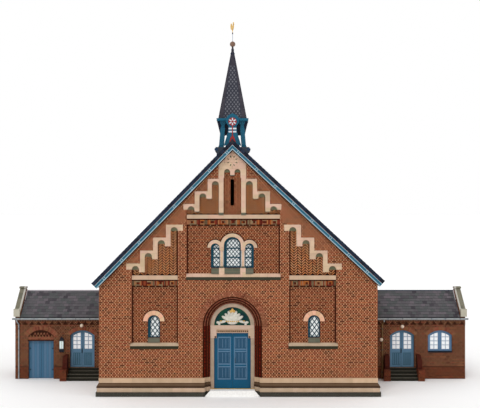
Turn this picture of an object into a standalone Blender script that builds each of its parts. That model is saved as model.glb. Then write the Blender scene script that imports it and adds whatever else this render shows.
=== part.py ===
"""Brick church with a gabled nave, a ridge turret and a low wing on each side.

X runs to the right, Y into the building from the front face of the nave, Z up from the ground.
"""

from math import cos, radians, sin, sqrt

import bmesh
import bpy
from mathutils import Matrix, Vector

# Touching pieces keep this gap
GAP = 0.0003

# Nave
NAVE_LEFT = -8.00
NAVE_RIGHT = 8.72
NAVE_LENGTH = 24.0
FRONT_WALL = 0.80
NAVE_WALL = 0.50
FLOOR_TOP = 0.35
APEX = 14.78
LEFT_PITCH = 1.0226
RIGHT_PITCH = 0.9275
ROOF_DEPTH = 0.58
ROOF_OVERHANG = 0.30
EAVE_LEFT = -8.40
EAVE_RIGHT = 9.10
SEAM_LEFT = -2.955
SEAM_RIGHT = 3.03

# Plinth: heights and how far each course stands out from the wall
PLINTH_COURSES = (
    (0.0, 0.18), (0.265, 0.18), (0.265, 0.12), (0.53, 0.12),
    (0.53, 0.145), (0.60, 0.145), (0.80, 0.02), (1.10, 0.02),
)
PLINTH_GAP = 1.66

# Portal: radius of each brick order and the depth where it starts
SPRINGING = 4.20
ORDERS = ((1.77, 0.15), (1.62, 0.30), (1.48, 0.42))
PORTAL_RADIUS = 1.34
STONE_FRONT = 0.50
STONE_BACK = 0.625
DOOR_HALF = 1.11
SHOULDER_HALF = 0.96
SHOULDER_HEIGHT = 3.43
DOOR_HEIGHT = 3.74
TYMPANUM_RADIUS = 1.10

# Recesses and stepped arcades of the front
RECESS = 0.14
STONE_PROUD = 0.015
ARCH_WIDTH = 0.44
STEP_RISE = 0.777
TOP_LINTEL = 10.30
TOP_SPRING = 9.935
PENDANT = 0.52
LEG = 0.27
FIRST_LINTEL_END = 0.30
LAST_LINTEL_END = 0.33
SILL_BOTTOM = 2.84
SILL_TOP = 3.20
LEFT_EDGE = 3.27
LEFT_STEP = 0.775
RIGHT_EDGE = 3.41
RIGHT_STEP = 0.795
CENTRE_LEFT = -2.74
CENTRE_RIGHT = 2.87
CENTRE_SILL_BOTTOM = 6.97
CENTRE_SILL_TOP = 7.36

# Windows of the nave
SMALL_WINDOW_X = (-4.72, 4.91)
SMALL_WINDOW_HALF = 0.37
SMALL_WINDOW_SILL = 3.50
SMALL_WINDOW_SPRING = 4.48
LIGHT_SILL = 7.70
LIGHT_HALF = 0.51
LIGHT_SPRING = 9.05
SIDE_LIGHT_X = 1.03
SIDE_LIGHT_HALF = 0.265
SIDE_LIGHT_SPRING = 8.915
SIDE_WINDOW_Y = (3.2, 12.6, 16.4, 20.2)
REAR_WINDOW_X = (-4.3, 0.36, 5.0)
TALL_WINDOW_HALF = 0.51
TALL_WINDOW_SILL = 3.20
TALL_WINDOW_SPRING = 5.05

# Ridge turret
TURRET_Y = 2.2
SHOE_TOP = 15.03
CORNICE_BOTTOM = 16.645
CORNICE_TOP = 16.80
CORNICE_HALF = 0.967
SPIRE_HALF = 0.868
SPIRE_TOP = 21.17
ROD_TOP = 22.20

# Wings
WING_FRONT = 6.0
WING_DEPTH = 3.9
WING_WALL = 0.36
REBATE = 0.20
LEFT_END = -14.37
RIGHT_END = 15.32
WING_EAVES = 4.03
WING_PITCH = 0.757
WING_ROOF = 0.14
WING_OVERHANG = 0.12
WING_FLOOR = 0.74
GLAZED_HALF = 0.805
GLAZED_SPRING = 2.87
GLAZED_RISE = 0.33
LEFT_GLAZED_X = -9.955
RIGHT_GLAZED_X = 11.165
PLANK_X = -12.675
PLANK_HALF = 0.835
PLANK_HEIGHT = 2.50
WING_WINDOW_X = 13.66
WING_WINDOW_HALF = 0.80
WING_WINDOW_SILL = 1.80

# Door leaves
LEAF = 0.05
LEAF_LAP = 0.03
PIVOT_INSET = 0.03
PIVOT_RADIUS = 0.012
MEETING_GAP = 0.008
LEAF_RISE = 0.01

TURNS = {"X": (radians(90), 0, radians(90)), "Y": (radians(90), 0, 0)}

for leftover in list(bpy.data.objects):
    bpy.data.objects.remove(leftover, do_unlink=True)

church = bpy.data.collections.new("church_building")
cutters = bpy.data.collections.new("cutters")
for collection in (church, cutters):
    bpy.context.scene.collection.children.link(collection)
cutters.hide_render = True


def make_material(name, colour, roughness, metallic=0.0):
    material = bpy.data.materials.new(name)
    material.use_nodes = True
    shader = material.node_tree.nodes["Principled BSDF"]
    shader.inputs["Base Color"].default_value = (*colour, 1.0)
    shader.inputs["Roughness"].default_value = roughness
    shader.inputs["Metallic"].default_value = metallic
    return material


brick = make_material("brick", (0.29, 0.11, 0.055), 0.9)
wing_brick = make_material("wing_brick", (0.13, 0.05, 0.03), 0.9)
cream_stone = make_material("cream_stone", (0.73, 0.47, 0.33), 0.85)
grey_stone = make_material("grey_stone", (0.35, 0.27, 0.20), 0.85)
granite = make_material("granite", (0.05, 0.05, 0.04), 0.7)
slate = make_material("slate", (0.09, 0.09, 0.09), 0.6)
blue_paint = make_material("blue_paint", (0.02, 0.10, 0.18), 0.4)
light_blue_paint = make_material("light_blue_paint", (0.07, 0.15, 0.24), 0.4)
teal_paint = make_material("teal_paint", (0.02, 0.08, 0.12), 0.4)
zinc = make_material("zinc", (0.24, 0.25, 0.27), 0.5, 0.6)
gilding = make_material("gilding", (0.75, 0.48, 0.12), 0.3, 1.0)
copper = make_material("copper", (0.16, 0.10, 0.07), 0.5, 0.8)
floor_tile = make_material("floor_tile", (0.20, 0.15, 0.12), 0.8)
glass = make_material("glass", (0.75, 0.82, 0.80), 0.1)


def add_mesh(name, bm, matrix, material):
    """Adds the mesh as a piece, or as a cutter where no material is given."""
    mesh = bpy.data.meshes.new(name)
    bm.to_mesh(mesh)
    bm.free()
    piece = bpy.data.objects.new(name, mesh)
    piece.matrix_world = matrix
    if material:
        mesh.materials.append(material)
        church.objects.link(piece)
    else:
        piece.display_type = "WIRE"
        piece.hide_render = True
        cutters.objects.link(piece)
    return piece


def block(name, low, high, material=None):
    low, high = Vector(low), Vector(high)
    bm = bmesh.new()
    bmesh.ops.create_cube(bm, size=1.0, matrix=Matrix.Diagonal((*(high - low), 1.0)))
    return add_mesh(name, bm, Matrix.Translation((low + high) / 2), material)


def prism(name, outline, start, end, material=None, along="Y"):
    """A flat outline made solid: in (X, Z) along Y, or in (Y, Z) along X."""
    curve = bpy.data.curves.new(name, "CURVE")
    curve.dimensions = "2D"
    curve.fill_mode = "BOTH"
    curve.extrude = (end - start) / 2
    spline = curve.splines.new("POLY")
    spline.points.add(len(outline) - 1)
    for point, (u, v) in zip(spline.points, outline):
        point.co = (u, v, 0.0, 1.0)
    spline.use_cyclic_u = True
    guide = bpy.data.objects.new(name, curve)
    guide.rotation_euler = TURNS[along]
    guide.location["XYZ".index(along)] = (start + end) / 2
    return mesh_from_curve(guide, material)


def tube(name, points, radius, material=None):
    curve = bpy.data.curves.new(name, "CURVE")
    curve.dimensions = "3D"
    curve.bevel_depth = radius
    curve.bevel_resolution = 2
    curve.use_fill_caps = True
    spline = curve.splines.new("POLY")
    spline.points.add(len(points) - 1)
    for point, place in zip(spline.points, points):
        point.co = (*place, 1.0)
    return mesh_from_curve(bpy.data.objects.new(name, curve), material)


def mesh_from_curve(guide, material):
    name, curve = guide.name, guide.data
    cutters.objects.link(guide)
    bpy.context.view_layer.update()
    graph = bpy.context.evaluated_depsgraph_get()
    mesh = bpy.data.meshes.new_from_object(guide.evaluated_get(graph))
    matrix = guide.matrix_world.copy()
    bm = bmesh.new()
    bm.from_mesh(mesh)
    bmesh.ops.remove_doubles(bm, verts=bm.verts, dist=1e-5)
    if curve.dimensions == "2D":
        for level in (-curve.extrude, curve.extrude):
            flat = [face for face in bm.faces if all(abs(vert.co.z - level) < 1e-5 for vert in face.verts)]
            bmesh.ops.dissolve_faces(bm, faces=flat)
    bmesh.ops.recalc_face_normals(bm, faces=bm.faces)
    bpy.data.objects.remove(guide)
    bpy.data.curves.remove(curve)
    bpy.data.meshes.remove(mesh)
    return add_mesh(name, bm, matrix, material)


def stack(name, low, high, courses, material=None):
    """A block whose sides stand out from a rectangle by a set amount at each height."""
    centre = ((low[0] + high[0]) / 2, (low[1] + high[1]) / 2)
    bm = bmesh.new()
    bmesh.ops.create_grid(bm, x_segments=1, y_segments=1, size=0.5)
    ring = list(bm.verts)
    top = bm.faces[:]
    width, depth = 1.0, 1.0
    height = 0.0
    for level, (z, outset) in enumerate(courses):
        if level:
            grown = bmesh.ops.extrude_face_region(bm, geom=top)["geom"]
            if level > 1:
                bmesh.ops.delete(bm, geom=top, context="FACES_ONLY")
            ring = [item for item in grown if isinstance(item, bmesh.types.BMVert)]
            top = [item for item in grown if isinstance(item, bmesh.types.BMFace)]
        wide = high[0] - low[0] + 2 * outset
        deep = high[1] - low[1] + 2 * outset
        bmesh.ops.scale(bm, vec=(wide / width, deep / depth, 1.0), verts=ring)
        bmesh.ops.translate(bm, vec=(0, 0, z - height), verts=ring)
        width, depth, height = wide, deep, z
    bmesh.ops.recalc_face_normals(bm, faces=bm.faces)
    return add_mesh(name, bm, Matrix.Translation((*centre, 0.0)), material)


def turned(name, profile, centre, material, steps=12):
    """A profile of (radius, height), from top to bottom, turned about the vertical."""
    bm = bmesh.new()
    points = [bm.verts.new((radius, 0.0, z)) for radius, z in profile]
    for upper, lower in zip(points, points[1:]):
        bm.edges.new((upper, lower))
    piece = add_mesh(name, bm, Matrix.Translation((*centre, 0.0)), material)
    screw = piece.modifiers.new("turn", "SCREW")
    screw.steps = screw.render_steps = steps
    screw.use_merge_vertices = True
    screw.merge_threshold = 0.0001
    return piece


def combine(piece, operation, tools):
    for tool in tools:
        modifier = piece.modifiers.new(tool.name, "BOOLEAN")
        modifier.operation = operation
        modifier.object = tool
    return piece


def cut(piece, *tools):
    return combine(piece, "DIFFERENCE", tools)


def join(piece, *tools):
    return combine(piece, "UNION", tools)


def put_origin_at(piece, place):
    """Moves the origin to a joint's axis and leaves the shape where it is."""
    matrix = piece.matrix_world.copy()
    piece.data.transform(Matrix.Translation(-Vector(place)) @ matrix)
    piece.matrix_world = Matrix.Translation(place)


def arc(x, z, radius, start, end, steps):
    angles = [radians(start + (end - start) * i / steps) for i in range(steps + 1)]
    return [(x + radius * cos(angle), z + radius * sin(angle)) for angle in angles]


def round_arch(x, half, bottom, spring, steps=12):
    """An opening with a half-round head, anticlockwise from its lower left corner."""
    return [(x - half, bottom), (x + half, bottom), *arc(x, spring, half, 0, 180, steps)]


def low_arch(x, half, bottom, spring, rise, grow=0.0, steps=10):
    """An opening with a segmental head, grown by a margin at its sides and head."""
    radius = (half * half + rise * rise) / (2 * rise)
    centre = spring + rise - radius
    outer = radius + grow
    edge = half + grow
    head = []
    for i in range(steps + 1):
        u = edge - 2 * edge * i / steps
        head.append((x + u, centre + sqrt(outer * outer - u * u)))
    return [(x - edge, bottom), (x + edge, bottom), *head]


def gable_height(x):
    return APEX - (LEFT_PITCH * -x if x < 0 else RIGHT_PITCH * x)


def arcade_outline(side, edge, step, clear):
    """The stepped outer edge of a side arcade, from its inner top corner to its lowest outer corner."""
    outer = [edge + ARCH_WIDTH + step * k for k in range(4)]
    tops = [TOP_LINTEL - STEP_RISE * k for k in range(4)]
    last_spring = TOP_SPRING - STEP_RISE * 3
    start = edge - FIRST_LINTEL_END + clear
    points = [(start, TOP_SPRING + clear), (start, TOP_LINTEL - clear)]
    for k in range(3):
        corner = outer[k] + LEG - clear
        points += [(corner, tops[k] - clear), (corner, tops[k + 1] - clear)]
    end = outer[3] + LAST_LINTEL_END - clear
    points += [(end, tops[3] - clear), (end, last_spring + clear)]
    return [(side * x, z) for x, z in points]


def arcade_arches(side, edge, step):
    """The arched lower edge of a side arcade, from the lowest opening up to the highest."""
    points = []
    for k in (3, 2, 1, 0):
        inner = edge + step * k
        spring = TOP_SPRING - STEP_RISE * k + GAP
        half = ARCH_WIDTH / 2
        points += arc(inner + half, spring, half, 0, 180, 8)
        if k:
            pendant = TOP_LINTEL - STEP_RISE * k - PENDANT
            points += [(inner, pendant), (inner + ARCH_WIDTH - step, pendant)]
    return [(side * x, z) for x, z in points]


def side_recess(side, edge, step):
    far = edge + ARCH_WIDTH + step * 3
    foot = [
        (far, SILL_TOP), (far + 0.10, SILL_TOP), (far + 0.10, SILL_BOTTOM),
        (edge - 0.04, SILL_BOTTOM), (edge - 0.04, SILL_TOP), (edge, SILL_TOP), (edge, TOP_SPRING),
    ]
    last_spring = TOP_SPRING - STEP_RISE * 3
    outline = arcade_outline(side, edge, step, 0.0) + [(side * far, last_spring)]
    return outline + [(side * x, z) for x, z in foot]


def gable_steps(side, pitch, clear, top):
    """The stepped outer edge of the top arcade on one side, from the apex down."""
    crown = APEX - pitch * 0.83 - clear if top is None else top
    points = [
        (0.83 - clear, crown), (0.83 - clear, 13.05 - clear), (1.48 - clear, 13.05 - clear),
        (1.48 - clear, 12.30 - clear), (2.26 - clear, 12.30 - clear), (2.26 - clear, 11.54 - clear),
        (2.94 - clear, 11.54 - clear), (2.94 - clear, 11.20 + clear),
    ]
    return [(side * x, z) for x, z in points]


def gable_arches(side):
    """The lower edge of the top arcade on one side, from the outer opening to the middle corbel."""
    points = [
        *arc(2.48, 11.20 + GAP, 0.21, 0, 180, 8), (2.27, 11.08), (1.98, 11.08),
        *arc(1.77, 11.97, 0.21, 0, 180, 8), (1.56, 11.85), (1.23, 11.85),
        *arc(1.02, 12.71, 0.21, 0, 180, 8), (0.81, 10.88 + GAP), (0.53, 10.88 + GAP), (0.53, 13.10),
        (0.49, 13.10), *arc(0.31, 13.46, 0.18, 0, 180, 8), (0.13, 13.28),
    ]
    return [(side * x, z) for x, z in points]


def centre_recess():
    right = gable_steps(1, RIGHT_PITCH, 0.0, APEX + 1)
    left = gable_steps(-1, LEFT_PITCH, 0.0, APEX + 1)
    foot_right = [
        (CENTRE_RIGHT, 11.20), (CENTRE_RIGHT, CENTRE_SILL_TOP), (CENTRE_RIGHT + 0.03, CENTRE_SILL_TOP),
        (CENTRE_RIGHT + 0.03, CENTRE_SILL_BOTTOM),
    ]
    foot_left = [
        (CENTRE_LEFT - 0.03, CENTRE_SILL_BOTTOM), (CENTRE_LEFT - 0.03, CENTRE_SILL_TOP),
        (CENTRE_LEFT, CENTRE_SILL_TOP), (CENTRE_LEFT, 11.20),
    ]
    return right + foot_right + foot_left + left[::-1]


def triplet_outline(clear=0.0):
    """Three lights as one opening, a tall one between two lower ones, drawn in by a clearance."""
    small = SIDE_LIGHT_HALF - clear
    tall = LIGHT_HALF - clear
    inner = SIDE_LIGHT_X - small
    foot, neck = LIGHT_SILL + clear, LIGHT_SPRING - 0.25 - clear
    right = [
        (SIDE_LIGHT_X + small, foot), *arc(SIDE_LIGHT_X, SIDE_LIGHT_SPRING, small, 0, 180, 8),
        (inner, neck), (tall, neck), *arc(0, LIGHT_SPRING, tall, 0, 90, 6),
    ]
    return right + [(-x, z) for x, z in right[-2::-1]]


def shrink(outline, centre, size):
    """The outline drawn in towards a centre by about the gap on each side."""
    scale = 1 - 2 * GAP / size
    x, z = centre
    return [(x + (u - x) * scale, z + (v - z) * scale) for u, v in outline]


def build_front():
    orders = []
    for radius, depth in ORDERS:
        outline = round_arch(0, radius, -0.5, SPRINGING, 20)
        orders.append(prism(f"order_cut_{depth}", outline, -0.5, depth))
    recesses = {
        "left": prism("recess_cut_left", side_recess(-1, LEFT_EDGE, LEFT_STEP), -0.5, RECESS),
        "right": prism("recess_cut_right", side_recess(1, RIGHT_EDGE, RIGHT_STEP), -0.5, RECESS),
        "centre": prism("recess_cut_centre", centre_recess(), -0.5, RECESS),
    }
    for side, seam, far in ((-1, SEAM_LEFT, NAVE_LEFT), (1, SEAM_RIGHT, NAVE_RIGHT)):
        outline = [
            (far, 0), (side * PORTAL_RADIUS, 0), (side * PORTAL_RADIUS, SPRINGING), (seam, SPRINGING),
            (seam, gable_height(seam) - GAP), (far, gable_height(far) - GAP),
        ]
        word = "left" if side < 0 else "right"
        wall = prism(f"front_wall_{word}", outline, 0, FRONT_WALL, brick)
        window_x = SMALL_WINDOW_X[side > 0]
        window = round_arch(window_x, SMALL_WINDOW_HALF, SMALL_WINDOW_SILL, SMALL_WINDOW_SPRING)
        cut(wall, recesses[word], prism(f"window_cut_{word}", window, -0.5, 1.5), *orders)
        pane = shrink(window, (window_x, 4.17), 1.0)
        prism(f"small_window_{word}", pane, 0.30, 0.36, teal_paint)

    arch = arc(0, SPRINGING + GAP, PORTAL_RADIUS, 180, 0, 20)
    outline = [
        (SEAM_LEFT + GAP, SPRINGING + GAP), *arch, (SEAM_RIGHT - GAP, SPRINGING + GAP),
        (SEAM_RIGHT - GAP, gable_height(SEAM_RIGHT) - GAP), (0, APEX - GAP),
        (SEAM_LEFT + GAP, gable_height(SEAM_LEFT) - GAP),
    ]
    gable = prism("front_gable", outline, 0, FRONT_WALL, brick)
    slit = block("slit_cut", (-0.11, -0.5, 11.45), (0.11, 1.5, 13.03))
    triplet = prism("triplet_cut", triplet_outline(), -0.5, 1.5)
    cut(gable, recesses["centre"], slit, triplet, *orders)
    prism("triplet_window", triplet_outline(GAP), 0.27, 0.33, teal_paint)


def build_portal():
    radius = PORTAL_RADIUS - GAP
    foot = FLOOR_TOP + GAP
    outline = [
        (-radius, foot), (-DOOR_HALF, foot), (-DOOR_HALF, SHOULDER_HEIGHT), (-SHOULDER_HALF, SHOULDER_HEIGHT),
        (-SHOULDER_HALF, DOOR_HEIGHT), (SHOULDER_HALF, DOOR_HEIGHT), (SHOULDER_HALF, SHOULDER_HEIGHT),
        (DOOR_HALF, SHOULDER_HEIGHT), (DOOR_HALF, foot), (radius, foot),
        *arc(0, SPRINGING, radius, 0, 180, 20),
    ]
    frame = prism("portal_frame", outline, STONE_FRONT, STONE_BACK, grey_stone)
    tympanum = arc(0, SPRINGING, TYMPANUM_RADIUS, 0, 180, 20)
    cut(frame, prism("tympanum_cut", tympanum, 0.0, STONE_FRONT + 0.06))
    block("threshold_step", (-radius, -0.10, 0), (radius, FRONT_WALL - GAP, FLOOR_TOP), granite)


def door_leaf(name, hinge, centre, outline, front, thickness, pivot, material):
    """A leaf with a round pivot on its hinge line; pivot gives the heights the pin runs between."""
    leaf = prism(name, outline, front, front + thickness, material)
    side = 1 if hinge > centre else -1
    axis = (hinge, front + thickness / 2, 0)
    low, high = pivot
    pin = tube(f"{name}_pin", [(*axis[:2], low), (*axis[:2], high)], PIVOT_RADIUS)
    join(leaf, pin)
    put_origin_at(leaf, axis)
    keep = (centre, centre + side * 2)
    low_corner = (min(keep), front - 0.5, -1)
    high_corner = (max(keep), front + 0.5, 6)
    half = block(f"{name}_half", low_corner, high_corner)
    half.location.x += side * MEETING_GAP / 2
    combine(leaf, "INTERSECT", [half])


def pair_of_leaves(name, centre, half, outline, front, thickness, pivot, material):
    """Two leaves that meet in the middle of one outline."""
    for side, word in ((-1, "left"), (1, "right")):
        hinge = centre + side * (half - PIVOT_INSET)
        door_leaf(f"{name}_{word}", hinge, centre, outline, front, thickness, pivot, material)


def build_main_doors():
    half = DOOR_HALF + 0.06
    foot = FLOOR_TOP + LEAF_RISE
    outline = [(-half, foot), (half, foot), (half, DOOR_HEIGHT + 0.06), (-half, DOOR_HEIGHT + 0.06)]
    pivot = (FLOOR_TOP + GAP, foot + 0.02)
    pair_of_leaves("main_door", 0, half, outline, STONE_BACK + 0.02, 0.06, pivot, blue_paint)


def build_arcades():
    back = RECESS - GAP
    for word, side, edge, step in (("left", -1, LEFT_EDGE, LEFT_STEP), ("right", 1, RIGHT_EDGE, RIGHT_STEP)):
        outline = arcade_outline(side, edge, step, GAP) + arcade_arches(side, edge, step)
        prism(f"arcade_{word}", outline, -STONE_PROUD, back, cream_stone)
        far = edge + ARCH_WIDTH + step * 3
        sill = [(back, SILL_BOTTOM + GAP), (-0.05, SILL_BOTTOM + GAP), (-0.05, 3.02), (back, SILL_TOP - GAP)]
        ends = sorted((side * (edge - 0.04 + GAP), side * (far + 0.10 - GAP)))
        prism(f"panel_sill_{word}", sill, *ends, cream_stone, "X")

    right = gable_steps(1, RIGHT_PITCH, GAP, None) + gable_arches(1)
    left = gable_steps(-1, LEFT_PITCH, GAP, None) + gable_arches(-1)
    crown = [(0, APEX - 2 * GAP)]
    prism("arcade_gable", crown + right + left[::-1], -STONE_PROUD, back, cream_stone)


def build_triplet_surround():
    """Hood, colonnettes and base blocks in one piece with the long sill they stand on."""
    back = RECESS - GAP
    foot = CENTRE_SILL_TOP - 0.12
    reach = SIDE_LIGHT_X + SIDE_LIGHT_HALF
    inner = SIDE_LIGHT_X - SIDE_LIGHT_HALF
    spring = SIDE_LIGHT_SPRING
    half = [
        *arc(0, LIGHT_SPRING, 0.72, 90, 15.5, 8), *arc(SIDE_LIGHT_X, spring, 0.47, 135, 0, 9),
        (reach, spring), *arc(SIDE_LIGHT_X, spring, SIDE_LIGHT_HALF, 0, 180, 8), (inner, 8.75), (0.71, 8.75),
        (0.71, 7.70), (0.80, 7.70), (0.80, foot), (0.475, foot), (0.475, 7.70), (0.57, 7.70), (0.57, 8.75),
        (LIGHT_HALF, 8.75), *arc(0, LIGHT_SPRING, LIGHT_HALF, 0, 90, 6),
    ]
    outline = half + [(-x, z) for x, z in half[::-1][1:-1]]
    surround = prism("triplet_surround", outline, 0.05, back, cream_stone)
    low, high = CENTRE_SILL_BOTTOM + GAP, CENTRE_SILL_TOP - GAP
    sill = [(back, low), (-0.05, low), (-0.05, 7.16), (back, high)]
    ends = (CENTRE_LEFT - 0.03 + GAP, CENTRE_RIGHT + 0.03 - GAP)
    join(surround, prism("centre_sill_union", sill, *ends, along="X"))


def build_nave_walls():
    start, end = FRONT_WALL + GAP, NAVE_LENGTH - NAVE_WALL - GAP
    tall = (TALL_WINDOW_HALF, TALL_WINDOW_SILL, TALL_WINDOW_SPRING)
    for word, outer, inner in (
        ("left", NAVE_LEFT, NAVE_LEFT + NAVE_WALL), ("right", NAVE_RIGHT, NAVE_RIGHT - NAVE_WALL)
    ):
        outline = [(outer, 0), (inner, 0)]
        outline += [(x, gable_height(x) - GAP) for x in (inner, outer)]
        wall = prism(f"nave_wall_{word}", outline, start, end, brick)
        low, high = sorted((outer, inner))
        for number, y in enumerate(SIDE_WINDOW_Y):
            window = round_arch(y, *tall, 10)
            cut(wall, prism(f"side_cut_{word}_{number}", window, low - 0.5, high + 0.5, along="X"))
        side = 1 if inner > outer else -1
        faces = sorted((inner + side * GAP, inner + side * 0.012))
        block(
            f"side_glazing_{word}",
            (faces[0], SIDE_WINDOW_Y[0] - 0.8, TALL_WINDOW_SILL - 0.2),
            (faces[1], SIDE_WINDOW_Y[-1] + 0.8, TALL_WINDOW_SPRING + TALL_WINDOW_HALF + 0.2),
            glass,
        )

    outline = [
        (NAVE_LEFT, 0), (NAVE_RIGHT, 0), (NAVE_RIGHT, gable_height(NAVE_RIGHT) - GAP), (0, APEX - GAP),
        (NAVE_LEFT, gable_height(NAVE_LEFT) - GAP),
    ]
    rear = prism("nave_rear_wall", outline, NAVE_LENGTH - NAVE_WALL, NAVE_LENGTH, brick)
    for number, x in enumerate(REAR_WINDOW_X):
        window = round_arch(x, *tall, 10)
        cut(rear, prism(f"rear_cut_{number}", window, NAVE_LENGTH - 1, NAVE_LENGTH + 0.5))
    face = NAVE_LENGTH - NAVE_WALL - GAP
    block(
        "rear_glazing",
        (REAR_WINDOW_X[0] - 0.8, face - 0.012, TALL_WINDOW_SILL - 0.2),
        (REAR_WINDOW_X[-1] + 0.8, face, TALL_WINDOW_SPRING + TALL_WINDOW_HALF + 0.2),
        glass,
    )
    low = (NAVE_LEFT + NAVE_WALL + GAP, start, 0)
    high = (NAVE_RIGHT - NAVE_WALL - GAP, end, FLOOR_TOP)
    block("nave_floor", low, high, floor_tile)


def build_nave_roof():
    """Each slope is as deep as the verge, and its eave is cut square to the slope."""
    start, end = -ROOF_OVERHANG, NAVE_LENGTH + ROOF_OVERHANG
    for word, side, pitch, eave in (
        ("left", -1, LEFT_PITCH, -EAVE_LEFT), ("right", 1, RIGHT_PITCH, EAVE_RIGHT)
    ):
        tip = APEX + ROOF_DEPTH - pitch * eave
        back = ROOF_DEPTH * pitch / (1 + pitch * pitch)
        under = eave - back
        outline = [
            (GAP, APEX - pitch * GAP), (GAP, APEX + ROOF_DEPTH - pitch * GAP), (eave, tip),
            (under, APEX - pitch * under),
        ]
        prism(f"nave_roof_{word}", [(side * x, z) for x, z in outline], start, end, slate)


def build_plinth():
    walls = block(
        "plinth_walls", (NAVE_LEFT - GAP, -GAP, -1), (NAVE_RIGHT + GAP, NAVE_LENGTH + GAP, 2)
    )
    rear = WING_FRONT + WING_DEPTH
    middle = (NAVE_LEFT + NAVE_RIGHT) / 2
    regions = {
        "plinth_front_left": ((-12, -1, -1), (-PLINTH_GAP, WING_FRONT - GAP, 2)),
        "plinth_front_right": ((PLINTH_GAP, -1, -1), (12, WING_FRONT - GAP, 2)),
        "plinth_rear": ((middle - 14, rear + GAP, -1), (middle + 14, NAVE_LENGTH + 1, 2)),
    }
    for name, (low, high) in regions.items():
        plinth = stack(name, (NAVE_LEFT, 0), (NAVE_RIGHT, NAVE_LENGTH), PLINTH_COURSES, grey_stone)
        cut(plinth, walls)
        combine(plinth, "INTERSECT", [block(f"{name}_region", low, high)])


def build_turret():
    ridge = APEX + ROOF_DEPTH
    half = 0.96
    base = [
        (-0.97, ridge - LEFT_PITCH * 0.97 + GAP), (0, ridge + GAP), (0.97, ridge - RIGHT_PITCH * 0.97 + GAP),
        (0.97, 14.75), (1.035, 14.75), (1.035, SHOE_TOP), (0.40, SHOE_TOP), (0, ridge + 0.09),
        (-0.40, SHOE_TOP), (-1.035, SHOE_TOP), (-1.035, 14.75), (-0.97, 14.75),
    ]
    prism("turret_base", base, TURRET_Y - half, TURRET_Y + half, slate)

    centre = (0, TURRET_Y)
    cornice = block(
        "belfry_frame", (-CORNICE_HALF, TURRET_Y - CORNICE_HALF, CORNICE_BOTTOM),
        (CORNICE_HALF, TURRET_Y + CORNICE_HALF, CORNICE_TOP), blue_paint,
    )
    bm = bmesh.new()
    bmesh.ops.create_cube(bm, size=1.0)
    for vert in bm.verts:
        upper = vert.co.z > 0
        vert.co.x *= 2 * (0.94 if upper else 0.743)
        vert.co.y *= 2 * (0.55 if upper else 0.45)
        vert.co.z = CORNICE_BOTTOM + 0.02 if upper else 15.84
    louvres = add_mesh("belfry_box", bm, Matrix.Translation((*centre, 0)), None)
    join(cornice, louvres)
    for side_x in (-1, 1):
        for side_y in (-1, 1):
            join(cornice, raked_post(side_x, side_y))

    front = TURRET_Y - CORNICE_HALF - GAP
    disc = arc(0, 16.65, 0.404, -52, 50, 10)
    right = [(0.535, 15.12), (0.27, 15.95), (0.249, 16.20), *disc, (0.0, 17.10)]
    outline = right + [(-x, z) for x, z in right[-2::-1]]
    notch = prism("gablet_notch", [(-0.60, 14.70), (0.60, 14.70), (0, 15.47)], front - 1, front + 1)
    cut(prism("belfry_gablet", outline, front - 0.07, front, blue_paint), notch)

    bm = bmesh.new()
    bmesh.ops.create_grid(bm, x_segments=1, y_segments=1, size=SPIRE_HALF)
    bmesh.ops.bevel(bm, geom=bm.verts[:], offset=SPIRE_HALF * 0.35, affect="VERTICES")
    grown = bmesh.ops.extrude_face_region(bm, geom=bm.faces[:])["geom"]
    tip = [item for item in grown if isinstance(item, bmesh.types.BMVert)]
    bmesh.ops.scale(bm, vec=(0.06, 0.06, 1), verts=tip)
    bmesh.ops.translate(bm, vec=(0, 0, SPIRE_TOP - CORNICE_TOP - GAP), verts=tip)
    bmesh.ops.recalc_face_normals(bm, faces=bm.faces)
    add_mesh("spire", bm, Matrix.Translation((*centre, CORNICE_TOP + GAP)), slate)

    ball = [(x, z) for x, z in arc(0, 21.478, 0.174, 80, -80, 8)]
    profile = [
        (0, ROD_TOP), (0.03, ROD_TOP), (0.035, 22.13), (0.016, 22.10), (0.016, 21.68), *ball,
        (0.05, 21.285), (0.075, 21.255), (0.045, SPIRE_TOP + GAP), (0, SPIRE_TOP + GAP),
    ]
    turned("spire_finial", profile, centre, copper)


def raked_post(side_x, side_y):
    """A square post that leans in towards the top, from the shoes to inside the cornice."""
    bm = bmesh.new()
    bmesh.ops.create_cube(bm, size=1.0)
    for vert in bm.verts:
        upper = vert.co.z > 0
        lean = 0.56 if upper else 0.70
        width = 0.19 if upper else 0.235
        vert.co.x = side_x * lean + vert.co.x * width
        vert.co.y = side_y * lean + vert.co.y * width
        vert.co.z = CORNICE_BOTTOM + 0.02 if upper else SHOE_TOP + GAP
    name = f"post_{side_x}_{side_y}"
    return add_mesh(name, bm, Matrix.Translation((0, TURRET_Y, 0)), None)


def build_vane():
    """A weathercock on a spindle, turned a little from the line of the ridge."""
    cock = [
        (-0.04, 0.10), (-0.03, 0.16), (-0.14, 0.22), (-0.21, 0.32), (-0.20, 0.43), (-0.28, 0.47),
        (-0.22, 0.52), (-0.21, 0.61), (-0.12, 0.62), (-0.09, 0.50), (-0.02, 0.40), (0.08, 0.37),
        (0.15, 0.47), (0.24, 0.60), (0.34, 0.58), (0.40, 0.45), (0.36, 0.31), (0.27, 0.22),
        (0.13, 0.18), (0.04, 0.16), (0.04, 0.10),
    ]
    foot = ROD_TOP + GAP
    outline = [(TURRET_Y + y, foot + z) for y, z in cock]
    vane = prism("weather_vane", outline, -0.02, 0.02, gilding, "X")
    spindle = tube("vane_spindle", [(0, TURRET_Y, foot), (0, TURRET_Y, foot + 0.2)], 0.018)
    join(vane, spindle)
    put_origin_at(vane, (0, TURRET_Y, 0))
    vane.rotation_euler.z = radians(18)


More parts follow.
